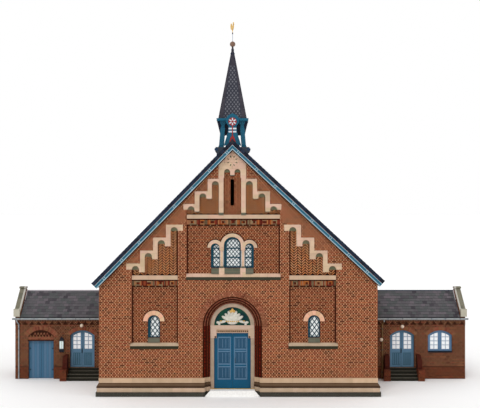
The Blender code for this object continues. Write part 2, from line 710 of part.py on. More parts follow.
def wing_roof_line(y, rise=0.0):
    """The height of the underside of a wing's roof, plus a rise, at a distance into the building."""
    ridge = WING_FRONT + WING_DEPTH / 2
    return WING_EAVES + WING_PITCH * (WING_DEPTH / 2 - abs(y - ridge)) + rise


def wing_walls(word, side, near, end, pier_end):
    """End wall with its parapet, rear wall and the front pier at the corner, in one piece."""
    rear = WING_FRONT + WING_DEPTH
    ridge = WING_FRONT + WING_DEPTH / 2
    outline = [(WING_FRONT, 0), (rear, 0)]
    outline += [(y, wing_roof_line(y, 0.30)) for y in (rear, ridge, WING_FRONT)]
    inner = end - side * WING_WALL
    shell = prism(f"{word}_wing_end_walls", outline, *sorted((end, inner)), wing_brick, "X")
    top = [(rear, 0), (rear - WING_WALL, 0), (rear - WING_WALL, wing_roof_line(rear - WING_WALL) - GAP)]
    top += [(rear, wing_roof_line(rear) - GAP)]
    ends = sorted((near + side * GAP, inner + side * 0.1))
    join(shell, prism(f"{word}_rear_union", top, *ends, along="X"))
    low, high = sorted((inner + side * 0.1, pier_end))
    return shell, low, high


def wing_opening_cuts(name, centre, half, bottom, height, spring=None):
    """The opening through the front face, and the wider rebate behind it that the leaves swing in."""
    front, middle, back = WING_FRONT - 0.5, WING_FRONT + REBATE, WING_FRONT + 1
    if spring is None:
        left, right = centre - half, centre + half
        outline = [(left, bottom), (right, bottom), (right, height), (left, height)]
    else:
        outline = low_arch(centre, half, bottom, spring, GLAZED_RISE)
    wide = half + LEAF_LAP + 0.02
    through = prism(f"{name}_cut", outline, front, back)
    rebate = block(f"{name}_rebate", (centre - wide, middle, bottom), (centre + wide, back, height + 0.06))
    return through, rebate


def front_slope(x_low, x_high, bottom, name, material=None):
    """A stretch of a wing's front wall, with its top cut to the roof."""
    back = WING_FRONT + WING_WALL
    outline = [
        (WING_FRONT, bottom), (back, bottom), (back, wing_roof_line(back) - GAP),
        (WING_FRONT, wing_roof_line(WING_FRONT) - GAP),
    ]
    return prism(name, outline, x_low, x_high, material, "X")


def build_left_wing():
    inner_end = LEFT_END + WING_WALL
    plank_cuts = wing_opening_cuts("plank", PLANK_X, PLANK_HALF, -1, PLANK_HEIGHT)
    glazed_cuts = wing_opening_cuts(
        "left_glazed", LEFT_GLAZED_X, GLAZED_HALF, -1, GLAZED_SPRING + GLAZED_RISE, GLAZED_SPRING
    )
    shell, low, high = wing_walls("left", -1, NAVE_LEFT, LEFT_END, PLANK_X - PLANK_HALF)
    pier = block("left_pier_union", (low, WING_FRONT, 0), (high, WING_FRONT + WING_WALL, PLANK_HEIGHT))
    join(shell, pier)
    cut(shell, plank_cuts[1])

    back = WING_FRONT + WING_WALL
    low, high = PLANK_X + PLANK_HALF, LEFT_GLAZED_X - GLAZED_HALF
    pier = block("left_wing_pier_middle", (low, WING_FRONT, 0), (high, back, PLANK_HEIGHT), wing_brick)
    cut(pier, plank_cuts[1], glazed_cuts[1])
    low, high = LEFT_GLAZED_X + GLAZED_HALF, NAVE_LEFT - GAP
    pier = block("left_wing_pier_inner", (low, WING_FRONT, 0), (high, back, PLANK_HEIGHT), wing_brick)
    cut(pier, glazed_cuts[1])
    ends = (inner_end + GAP, NAVE_LEFT - GAP)
    head = front_slope(*ends, PLANK_HEIGHT + GAP, "left_wing_wall_head", wing_brick)
    blind = prism(
        "blind_arch_cut", low_arch(PLANK_X, PLANK_HALF, 2.77, 2.83, 0.39), WING_FRONT - 0.5, WING_FRONT + 0.10
    )
    cut(head, blind, plank_cuts[1], *glazed_cuts)

    floor_low = (LEFT_GLAZED_X - 1.4, back + GAP, 0)
    floor_high = (NAVE_LEFT - GAP, WING_FRONT + WING_DEPTH - WING_WALL - GAP, WING_FLOOR)
    floor = block("left_wing_floor", floor_low, floor_high, floor_tile)
    sill = LEFT_GLAZED_X - GLAZED_HALF + GAP, LEFT_GLAZED_X + GLAZED_HALF - GAP
    join(floor, block("left_sill_union", (sill[0], WING_FRONT, 0), (sill[1], back + 0.1, WING_FLOOR)))

    foot = WING_FLOOR + LEAF_RISE
    outline = low_arch(LEFT_GLAZED_X, GLAZED_HALF, foot, GLAZED_SPRING, GLAZED_RISE, LEAF_LAP)
    leaf_front = WING_FRONT + REBATE + 0.025
    pivot = (WING_FLOOR + GAP, foot + 0.02)
    pair_of_leaves(
        "left_glazed_door", LEFT_GLAZED_X, GLAZED_HALF + LEAF_LAP, outline, leaf_front, LEAF, pivot,
        light_blue_paint,
    )
    half = PLANK_HALF + LEAF_LAP
    top = PLANK_HEIGHT + 0.03
    outline = [(PLANK_X - half, 0.02), (PLANK_X + half, 0.02), (PLANK_X + half, top), (PLANK_X - half, top)]
    pivot = (top - 0.02, PLANK_HEIGHT + 0.06 - GAP)
    pair_of_leaves("plank_door", PLANK_X, half, outline, leaf_front, LEAF, pivot, light_blue_paint)

    lantern = (
        (1.80, 0.0), (1.90, 0.0), (2.01, -0.03), (2.52, -0.03), (2.52, 0.0), (2.56, 0.0), (2.71, -0.09),
    )
    wall = block("lantern_wall", (-12, WING_FRONT - GAP, 1), (-11, 7, 3))
    low, high = (-11.45, WING_FRONT - 0.20 - GAP), (-11.14, WING_FRONT + 0.11 - GAP)
    cut(stack("wall_lantern", low, high, lantern, zinc), wall)


def build_right_wing():
    glazed_cuts = wing_opening_cuts(
        "right_glazed", RIGHT_GLAZED_X, GLAZED_HALF, -1, GLAZED_SPRING + GLAZED_RISE, GLAZED_SPRING
    )
    jamb = RIGHT_GLAZED_X + GLAZED_HALF
    back = WING_FRONT + WING_WALL
    shell, _, high = wing_walls("right", 1, NAVE_RIGHT, RIGHT_END, RIGHT_END - WING_WALL + 0.1)
    join(shell, front_slope(jamb, high, 0, "right_front_union"))
    window = low_arch(WING_WINDOW_X, WING_WINDOW_HALF, WING_WINDOW_SILL, GLAZED_SPRING, GLAZED_RISE)
    cut(shell, prism("wing_window_cut", window, WING_FRONT - 0.5, WING_FRONT + 1), glazed_cuts[1])
    pane = shrink(window, (WING_WINDOW_X, 2.5), 1.3)
    prism("right_wing_window", pane, WING_FRONT + 0.14, WING_FRONT + 0.20, light_blue_paint)

    ends = (NAVE_RIGHT + GAP, RIGHT_GLAZED_X - GLAZED_HALF)
    inner = front_slope(*ends, 0, "right_wing_wall_inner", wing_brick)
    cut(inner, glazed_cuts[1])
    head = front_slope(
        RIGHT_GLAZED_X - GLAZED_HALF + GAP, jamb - GAP, GLAZED_SPRING, "right_wing_door_head", wing_brick
    )
    cut(head, *glazed_cuts)

    floor_high = (RIGHT_END - WING_WALL - GAP, WING_FRONT + WING_DEPTH - WING_WALL - GAP, WING_FLOOR)
    floor = block("right_wing_floor", (NAVE_RIGHT + GAP, back + GAP, 0), floor_high, floor_tile)
    sill = RIGHT_GLAZED_X - GLAZED_HALF + GAP, jamb - GAP
    join(floor, block("right_sill_union", (sill[0], WING_FRONT, 0), (sill[1], back + 0.1, WING_FLOOR)))

    foot = WING_FLOOR + LEAF_RISE
    outline = low_arch(RIGHT_GLAZED_X, GLAZED_HALF, foot, GLAZED_SPRING, GLAZED_RISE, LEAF_LAP)
    pivot = (WING_FLOOR + GAP, foot + 0.02)
    pair_of_leaves(
        "right_glazed_door", RIGHT_GLAZED_X, GLAZED_HALF + LEAF_LAP, outline, WING_FRONT + REBATE + 0.025,
        LEAF, pivot, light_blue_paint,
    )


def build_wing_roof(word, side, near, end):
    """Slated roof up to the parapet, coping on the parapet, and the gutter with its downpipe."""
    front, rear = WING_FRONT - WING_OVERHANG, WING_FRONT + WING_DEPTH + WING_OVERHANG
    ridge = WING_FRONT + WING_DEPTH / 2
    lower = [(y, wing_roof_line(y)) for y in (front, ridge, rear)]
    upper = [(y, wing_roof_line(y, WING_ROOF)) for y in (rear, ridge, front)]
    inner = end - side * (WING_WALL + GAP)
    prism(f"{word}_wing_roof", lower + upper, *sorted((near + side * GAP, inner)), slate, "X")

    ends = sorted((end + side * 0.08, end - side * 0.32))
    feet = (WING_FRONT - GAP, ridge, WING_FRONT + WING_DEPTH + GAP)
    base = [(y, wing_roof_line(y, 0.30 + GAP)) for y in feet]
    crest = [(y, wing_roof_line(y, 0.40)) for y in (rear, ridge, front)]
    coping = prism(f"{word}_wing_coping", base + crest, *ends, cream_stone, "X")
    spans = ((front - 0.06, WING_FRONT - GAP), (rear + 0.06, rear - 0.12 + GAP))
    for number, (low, high) in enumerate(spans):
        kneeler = sorted((low, high))
        corner = [(kneeler[0], 4.12), (kneeler[1], 4.12), (kneeler[1], 4.62), (kneeler[0], 4.62)]
        join(coping, prism(f"{word}_kneeler_{number}", corner, *ends, along="X"))
    cap = sorted((end + side * 0.12, end - side * 0.36))
    crown = [(ridge - 0.20, 5.82), (ridge - 0.20, 5.94), (ridge + 0.20, 5.94), (ridge + 0.20, 5.82)]
    join(coping, prism(f"{word}_cap", crown, *cap, along="X"))

    lip = front - GAP
    trough = [
        (lip, 4.03), (lip, 3.95), (lip - 0.04, 3.91), (lip - 0.10, 3.91), (lip - 0.14, 3.95),
        (lip - 0.14, 4.03),
        (lip - 0.128, 4.03), (lip - 0.128, 3.957), (lip - 0.095, 3.922), (lip - 0.045, 3.922),
        (lip - 0.012, 3.957), (lip - 0.012, 4.03),
    ]
    gutter = prism(f"{word}_wing_gutter", trough, *sorted((near + side * GAP, end + side * 0.16)), zinc, "X")
    pipe_x = end + 0.24 if side < 0 else near + 1.13
    radius = 0.045
    centre = WING_FRONT - radius - GAP
    trough_y = lip - 0.07
    path = [
        (pipe_x + side * 0.10, trough_y, 3.915), (pipe_x + side * 0.10, trough_y, 3.80),
        (pipe_x, centre, 3.60), (pipe_x, centre, 0.02),
    ]
    join(gutter, tube(f"{word}_downpipe_union", path, radius))


def build_steps(word, low, high, cheeks):
    """Three treads and a landing, with brick cheeks whose tops sweep down to square piers."""
    rise, going = (WING_FLOOR - GAP) / 4, 0.27
    first = WING_FRONT - 3 * going
    flight = [(WING_FRONT - GAP, 0)]
    for k in range(4):
        y = first + going * k - (0.05 if k == 3 else 0)
        flight += [(y, rise * k), (y, rise * (k + 1))]
    flight.append((WING_FRONT - GAP, WING_FLOOR - GAP))
    steps = prism(f"{word}_wing_steps", flight, low, high, granite, "X")
    back = WING_FRONT - GAP
    for number, (side, edge) in enumerate(cheeks):
        pier = sorted((edge - side * 0.02, edge + side * 0.40))
        join(steps, block(f"{word}_pier_{number}", (pier[0], 5.06, 0), (pier[1], 5.42, 0.72)))
        reach = edge + side * 0.28
        sweep = [(reach, 0), *arc(reach - side * 0.20, 1.45, 0.20, 0 if side > 0 else 180, 90, 5)]
        sweep += [(edge - side * 0.02, 1.65), (edge - side * 0.02, 0)]
        cheek = prism(f"{word}_cheek_{number}", sweep, 5.30, back)
        slope = [(5.0, 0.715), *arc(0, 0, 1, 180, 90, 8)]
        curve = [(WING_FRONT + 0.62 * u, 0.715 + 0.935 * v) for u, v in slope[1:]]
        above = [(5.0, 0.715), *curve, (WING_FRONT + 0.1, 1.65), (WING_FRONT + 0.1, 3), (5.0, 3)]
        cut(cheek, prism(f"{word}_sweep_{number}", above, reach - 1, reach + 1, along="X"))
        join(steps, cheek)


build_front()
build_portal()
build_main_doors()
build_arcades()
build_triplet_surround()
build_nave_walls()
build_nave_roof()
build_plinth()
build_turret()
build_vane()
build_left_wing()
build_right_wing()
build_wing_roof("left", -1, NAVE_LEFT, LEFT_END)
build_wing_roof("right", 1, NAVE_RIGHT, RIGHT_END)
build_steps("left", -10.88, NAVE_LEFT - 0.19, [(-1, -10.88)])
build_steps("right", 10.24, 12.10, [(-1, 10.24), (1, 12.10)])
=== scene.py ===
from math import atan, ceil, cos, degrees, pi, radians, sin, sqrt
from random import Random

import bmesh
import bpy
from mathutils import Matrix, Vector


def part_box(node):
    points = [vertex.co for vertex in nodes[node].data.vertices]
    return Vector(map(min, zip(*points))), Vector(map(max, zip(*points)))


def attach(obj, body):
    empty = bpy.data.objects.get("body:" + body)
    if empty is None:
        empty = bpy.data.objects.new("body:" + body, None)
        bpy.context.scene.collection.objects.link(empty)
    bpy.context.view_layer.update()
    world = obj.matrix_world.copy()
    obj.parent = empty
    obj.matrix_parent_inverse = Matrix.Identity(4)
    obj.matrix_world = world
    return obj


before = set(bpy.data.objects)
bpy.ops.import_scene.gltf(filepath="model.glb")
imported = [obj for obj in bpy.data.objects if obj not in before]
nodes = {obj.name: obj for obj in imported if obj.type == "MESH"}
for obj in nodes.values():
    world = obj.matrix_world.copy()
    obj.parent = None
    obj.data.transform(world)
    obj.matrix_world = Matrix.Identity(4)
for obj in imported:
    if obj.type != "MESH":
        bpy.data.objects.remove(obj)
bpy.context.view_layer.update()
dice = Random(21)
looks = {}  # every material by its name
bpy.context.scene.view_settings.view_transform = "Standard"
print("frame loaded,", len(nodes), "nodes")


def linear(colour):
    # a screen colour of three parts, 0 to 255, turned to the linear one that shaders take; the rest passes
    if not isinstance(colour, tuple) or len(colour) != 3:
        return colour
    parts = [value / 255 for value in colour]
    return (*[part / 12.92 if part <= 0.04045 else ((part + 0.055) / 1.055) ** 2.4 for part in parts], 1.0)


class Finish:
    # a material with short calls for its nodes; any input takes a number, a colour or another node's output
    def __init__(self, name, roughness=0.8, metallic=0.0, coat=0.0, sheen=0.12):
        self.material = looks[name] = bpy.data.materials.new(name)
        self.material.use_nodes = True
        self.tree = self.material.node_tree
        self.shader = self.tree.nodes["Principled BSDF"]
        self.shader.inputs["Roughness"].default_value = roughness
        self.shader.inputs["Metallic"].default_value = metallic
        self.shader.inputs["Coat Weight"].default_value = coat
        self.shader.inputs["Specular IOR Level"].default_value = sheen
        self.place = self.node("TexCoord").outputs["Object"]
        self.x, self.y, self.z = self.node("SeparateXYZ", {0: self.place}).outputs

    def node(self, kind, inputs=None, **settings):
        made = self.tree.nodes.new("ShaderNode" + kind)
        for key, value in settings.items():
            setattr(made, key, value)
        for key, value in (inputs or {}).items():
            if isinstance(value, bpy.types.NodeSocket):
                self.tree.links.new(value, made.inputs[key])
            else:
                made.inputs[key].default_value = value
        return made

    def maths(self, operation, *values):
        return self.node("Math", dict(enumerate(values)), operation=operation).outputs[0]

    def times(self, first, *others):
        for other in others:
            first = self.maths("MULTIPLY", first, other)
        return first

    def plus(self, value, other):
        return self.maths("ADD", value, other)

    def minus(self, value, other):
        return self.maths("SUBTRACT", value, other)

    def over(self, value, size):
        return self.maths("DIVIDE", value, size)

    def above(self, value, limit):
        return self.maths("GREATER_THAN", value, limit)

    def below(self, value, limit):
        return self.maths("LESS_THAN", value, limit)

    def between(self, value, low, high):
        # 1 where the value lies between two limits, else 0
        return self.times(self.above(value, low), self.below(value, high))

    def mix(self, share, first, second, blend="MIX"):
        inputs = {0: share, 6: linear(first), 7: linear(second)}
        return self.node("Mix", inputs, data_type="RGBA", blend_type=blend).outputs[2]

    def ramp(self, share, stops):
        made = self.node("ValToRGB", {0: share})
        for number, (position, shade) in enumerate(stops):
            if number < 2:
                stop = made.color_ramp.elements[number]
                stop.position = position
            else:
                stop = made.color_ramp.elements.new(position)
            stop.color = linear(shade)
        return made.outputs[0]

    def evenly(self, share, shades):
        return self.ramp(share, [(number / (len(shades) - 1), shade) for number, shade in enumerate(shades)])

    def noise(self, scale, detail=3.0, place=None):
        inputs = {"Vector": place or self.place, "Scale": scale, "Detail": detail}
        return self.node("TexNoise", inputs).outputs[0]

    def clouds(self, scale, first, second, edge=0.3, detail=3.0):
        # two colours in soft patches
        return self.ramp(self.noise(scale, detail), [(edge, first), (1 - edge, second)])

    def tint(self):
        # the value that each brick, slate or board has of its own in the mesh
        return self.node("Attribute", attribute_name="tint").outputs["Fac"]

    def bricks(self, along, height, size, joint, smooth=0.1, squash=1.0, offset=0.5, shades=None):
        # outputs of the brick texture: a value for each brick, and the joints
        shades = shades or ((0, 0, 0, 1), (1, 1, 1, 1), (0.5, 0.5, 0.5, 1))
        inputs = {
            "Vector": self.node("CombineXYZ", {0: along, 1: height}).outputs[0], "Scale": 1.0, "Bias": 0.0,
            "Color1": linear(shades[0]), "Color2": linear(shades[1]), "Mortar": linear(shades[2]),
            "Mortar Size": joint, "Mortar Smooth": smooth, "Brick Width": size[0], "Row Height": size[1],
        }
        settings = {"offset": offset, "offset_frequency": 2, "squash": squash, "squash_frequency": 2}
        return self.node("TexBrick", inputs, **settings).outputs

    def facing(self, axis):
        # how far the surface faces along an axis, without its sign
        normal = self.node("TexCoord").outputs["Normal"]
        return self.maths("ABSOLUTE", self.node("SeparateXYZ", {0: normal}).outputs["XYZ".index(axis)])

    def wallPlace(self, slide=(0, 0)):
        # distance along the wall and height, whichever way the wall faces
        sideways = self.above(self.facing("X"), 0.6)
        flat = self.above(self.facing("Z"), 0.75)
        along = self.node("Mix", {0: sideways, 2: self.x, 3: self.y}).outputs[0]
        height = self.node("Mix", {0: flat, 2: self.z, 3: self.y}).outputs[0]
        return self.plus(along, slide[0]), self.plus(height, slide[1])

    def done(self, shade, height=None, distance=0.01, strength=0.6):
        self.tree.links.new(shade, self.shader.inputs["Base Color"])
        if height is not None:
            bump = self.node("Bump", {"Height": height, "Distance": distance, "Strength": strength})
            self.tree.links.new(bump.outputs[0], self.shader.inputs["Normal"])


# One large brick format on the whole building, in metres, counted off the photograph
brickwork = {
    "course": 0.0945, "length": 0.33, "joint": 0.028, "headerShade": 0.66, "bedEdge": 0.35, "bedFade": 0.75,
    "field": [
        (0.00, (66, 32, 20)), (0.16, (108, 52, 32)), (0.34, (139, 65, 42)), (0.52, (120, 69, 38)),
        (0.68, (149, 78, 51)), (0.84, (114, 46, 32)), (1.00, (159, 90, 55)),
    ],
    "wing": [
        (0.00, (66, 38, 26)), (0.25, (106, 56, 39)), (0.45, (98, 67, 41)), (0.65, (124, 63, 47)),
        (0.85, (88, 58, 41)), (1.00, (134, 82, 54)),
    ],
    # portal and recessShade are multiplied over the brick as painted shade, in the portal's orders and on the backs of
    # the sunk panels; wingBase is the darker brick of the wings' base
    "portal": (172, 68, 20), "recessShade": (234, 228, 224), "wingBase": (240, 215, 205),
}


def bondPattern(finish):
    # English cross bond: courses of headers between courses of stretchers, which shift by half each time
    along, height = finish.wallPlace()
    course, length = brickwork["course"], brickwork["length"]
    pair = finish.maths("FLOOR", finish.over(height, 2 * course))
    along = finish.plus(along, finish.times(pair, length / 2))
    bricks = finish.bricks(along, height, (length, course), brickwork["joint"] / 2, 0.2, 0.5)
    # the bed joints are darker than the upright ones
    level = finish.maths("FRACT", finish.over(height, course))
    bed = finish.above(finish.maths("ABSOLUTE", finish.minus(level, 0.5)), brickwork["bedEdge"])
    share = finish.minus(1.0, finish.times(bed, brickwork["bedFade"]))
    return bricks[0], finish.times(bricks[1], share)


def brickFinish(name, bricks, mortar, mortarPale, zones):
    # zones: pairs of a mask maker and a colour that tone the brick in one part of a wall, as painted shade or as darker
    # brick
    finish = Finish(name, roughness=0.88)
    tint, joint = bondPattern(finish)
    grain = finish.noise(38.0, 4.0)
    shade = finish.ramp(finish.plus(tint, finish.times(finish.minus(grain, 0.5), 0.22)), bricks)
    row = finish.maths("FLOOR", finish.over(finish.wallPlace()[1], brickwork["course"]))
    headers = finish.below(finish.maths("FLOORED_MODULO", row, 2.0), 0.5)
    dark = (*[brickwork["headerShade"]] * 3, 1.0)
    shade = finish.mix(headers, shade, finish.mix(1.0, shade, dark, "MULTIPLY"))
    patches = finish.clouds(0.9, (232, 226, 214), (255, 250, 246), 0.35, 2.0)
    shade = finish.mix(0.7, shade, patches, "MULTIPLY")
    shade = finish.mix(joint, shade, finish.clouds(6.0, mortar, mortarPale))
    for maker, colour in zones:
        shade = finish.mix(maker(finish), shade, colour, "MULTIPLY")
    finish.done(shade, finish.minus(finish.times(grain, 0.25), joint), 0.008, 0.5)


def inRecess(finish):
    return finish.between(finish.y, 0.12, 0.145)


def inPortal(finish):
    # the brick orders beside the door
    across = finish.between(finish.maths("ABSOLUTE", finish.x), 1.0, 1.785)
    return finish.times(across, finish.between(finish.y, 0.01, 0.79), finish.below(finish.z, 6.0))


def inPortalHead(finish):
    # the brick orders over the arch
    across = finish.below(finish.maths("ABSOLUTE", finish.x), 1.0)
    return finish.times(across, finish.between(finish.y, 0.01, 0.79), finish.between(finish.z, 4.9, 6.0))


def belowOffset(finish):
    return finish.below(finish.z, 0.80)


# faces that don't face up, where the sills' painted shade goes
def steep(finish):
    return finish.below(finish.facing("Z"), 0.3)


def steepAndLow(finish):
    return finish.times(steep(finish), finish.below(finish.z, 7.20))


def betweenCopings(finish):
    return finish.between(finish.x, -14.16, 15.10)


def onCopingHead(finish):
    return finish.between(finish.z, 4.1, 4.61)


def stoneFinish(name, shades, block=(0.78, 0.39), slide=(0, 0), zones=()):
    # dressed stone: blocks of slightly different shades with thin joints and fine tooling
    finish = Finish(name, roughness=0.8)
    blocks = finish.bricks(*finish.wallPlace(slide), block, 0.005)
    share = finish.plus(finish.times(blocks[0], 0.8), finish.times(finish.noise(5.0), 0.2))
    shade = finish.mix(finish.times(blocks[1], 0.6), finish.evenly(share, shades), (150, 122, 98))
    for maker, colour in zones:
        shade = finish.mix(maker(finish), shade, colour)
    shade = finish.mix(0.6, shade, finish.clouds(1.7, (226, 222, 214), (255, 255, 255), detail=5.0), "MULTIPLY")
    rough = finish.minus(finish.times(finish.noise(90.0, 2.0), 0.3), blocks[1])
    finish.done(shade, rough, 0.006, 0.4)


def plinthFinish():
    # courses from the ground up: granite, cream, brown moulding, cream; the moulding is brown stone with painted shade
    # at its foot and head
    finish = Finish("plinth_stone", roughness=0.8)
    joints = finish.bricks(finish.wallPlace()[0], finish.z, (1.2, 0.27), 0.004)
    speckle = finish.clouds(70.0, (46, 46, 42), (78, 76, 68), 0.35, 2.0)
    cream = finish.evenly(joints[0], [(188, 166, 142), (204, 176, 152)])
    topCream = finish.evenly(joints[0], [(194, 166, 138), (208, 178, 148)])
    moulding = finish.ramp(finish.z, [
        (0.53, (52, 34, 22)), (0.62, (70, 50, 36)), (0.70, (106, 84, 64)), (0.79, (82, 58, 42)),
        (0.805, (104, 72, 52)),
    ])
    shade = speckle
    for foot, course in ((0.2655, cream), (0.525, moulding), (0.81, topCream)):
        shade = finish.mix(finish.above(finish.z, foot), shade, course)
    shade = finish.mix(finish.times(joints[1], 0.5), shade, (110, 90, 72))
    shade = finish.mix(0.6, shade, finish.clouds(2.2, (230, 226, 218), (255, 255, 255), detail=5.0), "MULTIPLY")
    rough = finish.minus(finish.times(finish.noise(60.0, 2.0), 0.3), joints[1])
    finish.done(shade, rough, 0.006, 0.4)


def tintedFinish(name, shades, roughness=0.85, grainScale=30.0, depth=0.004, edge=None):
    # separate bricks, stones or slates, each with its own tint from the mesh
    finish = Finish(name, roughness=roughness)
    grain = finish.noise(grainScale, 4.0)
    shade = finish.evenly(finish.plus(finish.tint(), finish.times(finish.minus(grain, 0.5), 0.25)), shades)
    # the steep faces, the slates' edges, take a dark colour: painted shade under each course
    if edge:
        shade = finish.mix(finish.below(finish.facing("Z"), 0.45), shade, edge)
    finish.done(shade, grain, depth, 0.4)


def paintFinish(name, base, edge, roughness=0.42, stretch=(6.0, 6.0, 0.5)):
    # oil paint over timber: brush marks along the grain and a little fading
    finish = Finish(name, roughness=roughness, coat=0.15)
    long = finish.node("Mapping", {"Vector": finish.place, "Scale": stretch}).outputs[0]
    marks = finish.noise(14.0, 3.0, long)
    shade = finish.ramp(marks, [(0.25, base), (0.75, edge)])
    fade = finish.clouds(1.3, (232, 232, 232), (255, 255, 255))
    finish.done(finish.mix(0.7, shade, fade, "MULTIPLY"), marks, 0.002, 0.3)


def plankFinish():
    # each board has its own shade of the same paint
    finish = Finish("plank_blue", roughness=0.45, coat=0.1)
    shade = finish.evenly(finish.tint(), [(60, 104, 134), (74, 116, 146), (88, 120, 148)])
    long = finish.node("Mapping", {"Vector": finish.place, "Scale": (8.0, 8.0, 0.6)}).outputs[0]
    marks = finish.noise(12.0, 3.0, long)
    worn = finish.ramp(marks, [(0.3, (228, 230, 232)), (0.7, (255, 255, 255))])
    finish.done(finish.mix(0.8, shade, worn, "MULTIPLY"), marks, 0.002, 0.4)


def plainFinish(name, base, variation, roughness, metallic=0.0, scale=9.0):
    finish = Finish(name, roughness=roughness, metallic=metallic)
    grain = finish.noise(scale, 4.0)
    finish.done(finish.ramp(grain, [(0.3, base), (0.7, variation)]), grain, 0.002, 0.3)


def gutterFinish():
    # zinc, but the right wing's downpipe is painted brown like the wall
    finish = Finish("gutter_zinc", roughness=0.5, metallic=0.2)
    painted = finish.times(finish.between(finish.x, 9.7, 10.0), finish.below(finish.z, 3.78))
    zinc = finish.clouds(5.0, (134, 142, 148), (164, 166, 164))
    finish.done(finish.mix(painted, zinc, (122, 96, 62)))


def glassFinish(name, darker, pale=(255, 255, 255)):
    # pale glass: patches of painted reflection make each pane a little different
    finish = Finish(name, roughness=0.08, coat=0.3, sheen=0.5)
    rippleAndReflection = finish.noise(7.0, 2.0)
    finish.done(finish.ramp(rippleAndReflection, [(0.3, darker), (0.7, pale)]), rippleAndReflection, 0.004, 0.15)


def lanternFinish():
    # iron above and below, pale glass between
    finish = Finish("lantern", roughness=0.4)
    finish.done(finish.mix(finish.between(finish.z, 2.01, 2.52), (24, 28, 38), (226, 242, 238)))


def finialFinish():
    # brown copper ball, pale rod and a dark knob under the vane
    finish = Finish("finial", roughness=0.42)
    shade = finish.clouds(9.0, (104, 80, 66), (130, 102, 86))
    shade = finish.mix(finish.above(finish.z, 21.66), shade, (150, 160, 178))
    shade = finish.mix(finish.above(finish.z, 22.09), shade, (34, 38, 62))
    finish.done(finish.mix(finish.below(finish.z, 21.32), shade, (72, 66, 70)))


def portalStoneFinish():
    # buff jambs up to the shoulder, warmer lintel above, grey arch, dark green field of the tympanum
    finish = Finish("portal_stone", roughness=0.8)
    grain = finish.noise(4.0, 5.0)
    jamb = finish.ramp(grain, [(0.3, (158, 138, 118)), (0.7, (176, 154, 134))])
    lintel = finish.ramp(grain, [(0.3, (196, 170, 148)), (0.7, (208, 180, 160))])
    arch = finish.ramp(grain, [(0.3, (164, 146, 126)), (0.7, (188, 162, 142))])
    shade = finish.mix(finish.above(finish.z, 3.43), jamb, lintel)
    shade = finish.mix(finish.above(finish.z, 4.20), shade, arch)
    sunk = finish.times(finish.between(finish.y, 0.55, 0.57), finish.above(finish.z, 4.2))
    shade = finish.mix(sunk, shade, finish.clouds(2.0, (14, 48, 52), (26, 72, 54), 0.4, 2.0))
    finish.done(shade, finish.noise(60.0), 0.003, 0.3)


def stepsFinish(name, low, high):
    # stone flight between two distances across, risers painted dark as shade and paler treads, with brick cheeks beside
    # it
    finish = Finish(name, roughness=0.8)
    tread = finish.clouds(24.0, (100, 96, 84), (124, 118, 106))
    shadedRiser = finish.clouds(24.0, (26, 26, 20), (46, 44, 36))
    flight = finish.mix(finish.above(finish.facing("Z"), 0.5), shadedRiser, tread)
    tint, joint = bondPattern(finish)
    cheek = finish.mix(joint, finish.ramp(tint, brickwork["wing"]), (132, 96, 72))
    cheek = finish.mix(1.0, cheek, (236, 200, 188), "MULTIPLY")
    # the cheeks above 0.73 m are painted dark red: painted shade on the curved cheek walls
    cheek = finish.mix(finish.times(finish.above(finish.z, 0.73), 0.8), cheek, (58, 14, 8))
    shade = finish.mix(finish.between(finish.x, low, high), cheek, flight)
    finish.done(shade, finish.minus(0.0, joint), 0.006, 0.4)


def spireFinish():
    # diamond slates: pale lozenges on the broad faces, darker bands at the hips
    finish = Finish("spire_slate", roughness=0.55)
    across, up = [
        finish.maths("ABSOLUTE", finish.minus(finish.maths("FRACT", finish.over(place, size)), 0.5))
        for place, size in ((finish.wallPlace()[0], 0.215), (finish.z, 0.285))
    ]
    lozenge = finish.maths("ABSOLUTE", finish.minus(finish.plus(across, up), 0.5))
    shade = finish.ramp(lozenge, [
        (0.0, (44, 44, 54)), (0.14, (58, 60, 70)), (0.34, (104, 104, 110)), (0.5, (126, 126, 130)),
    ])
    broad = finish.above(finish.maths("MAXIMUM", finish.facing("X"), finish.facing("Y")), 0.9)
    broad = finish.times(broad, finish.below(finish.z, 20.1))
    shade = finish.mix(broad, finish.clouds(3.0, (52, 50, 58), (66, 62, 70)), shade)
    weather = finish.clouds(1.5, (220, 222, 228), (255, 255, 255), 0.35)
    finish.done(finish.mix(0.8, shade, weather, "MULTIPLY"), lozenge, 0.012, 0.6)


def roofFinish():
    # plain slating under the separate slates, darker at the foot of each course by height: painted shade that shows
    # dark in the gaps
    finish = Finish("roof_under_slates", roughness=0.6)
    courses = finish.maths("FRACT", finish.over(finish.z, 0.17))
    finish.done(finish.mix(courses, (40, 38, 44), (58, 56, 60)), courses, 0.01, 0.4)


def tileFloorFinish():
    finish = Finish("floor_tile", roughness=0.6)
    shades = ((118, 84, 62), (146, 108, 82), (150, 140, 126))
    tiles = finish.bricks(finish.x, finish.y, (0.2, 0.2), 0.004, offset=0.0, shades=shades)
    finish.done(tiles[0], finish.minus(0.0, tiles[1]), 0.003, 0.4)


creamShades = [(196, 172, 140), (212, 184, 156), (216, 180, 160), (190, 166, 138)]

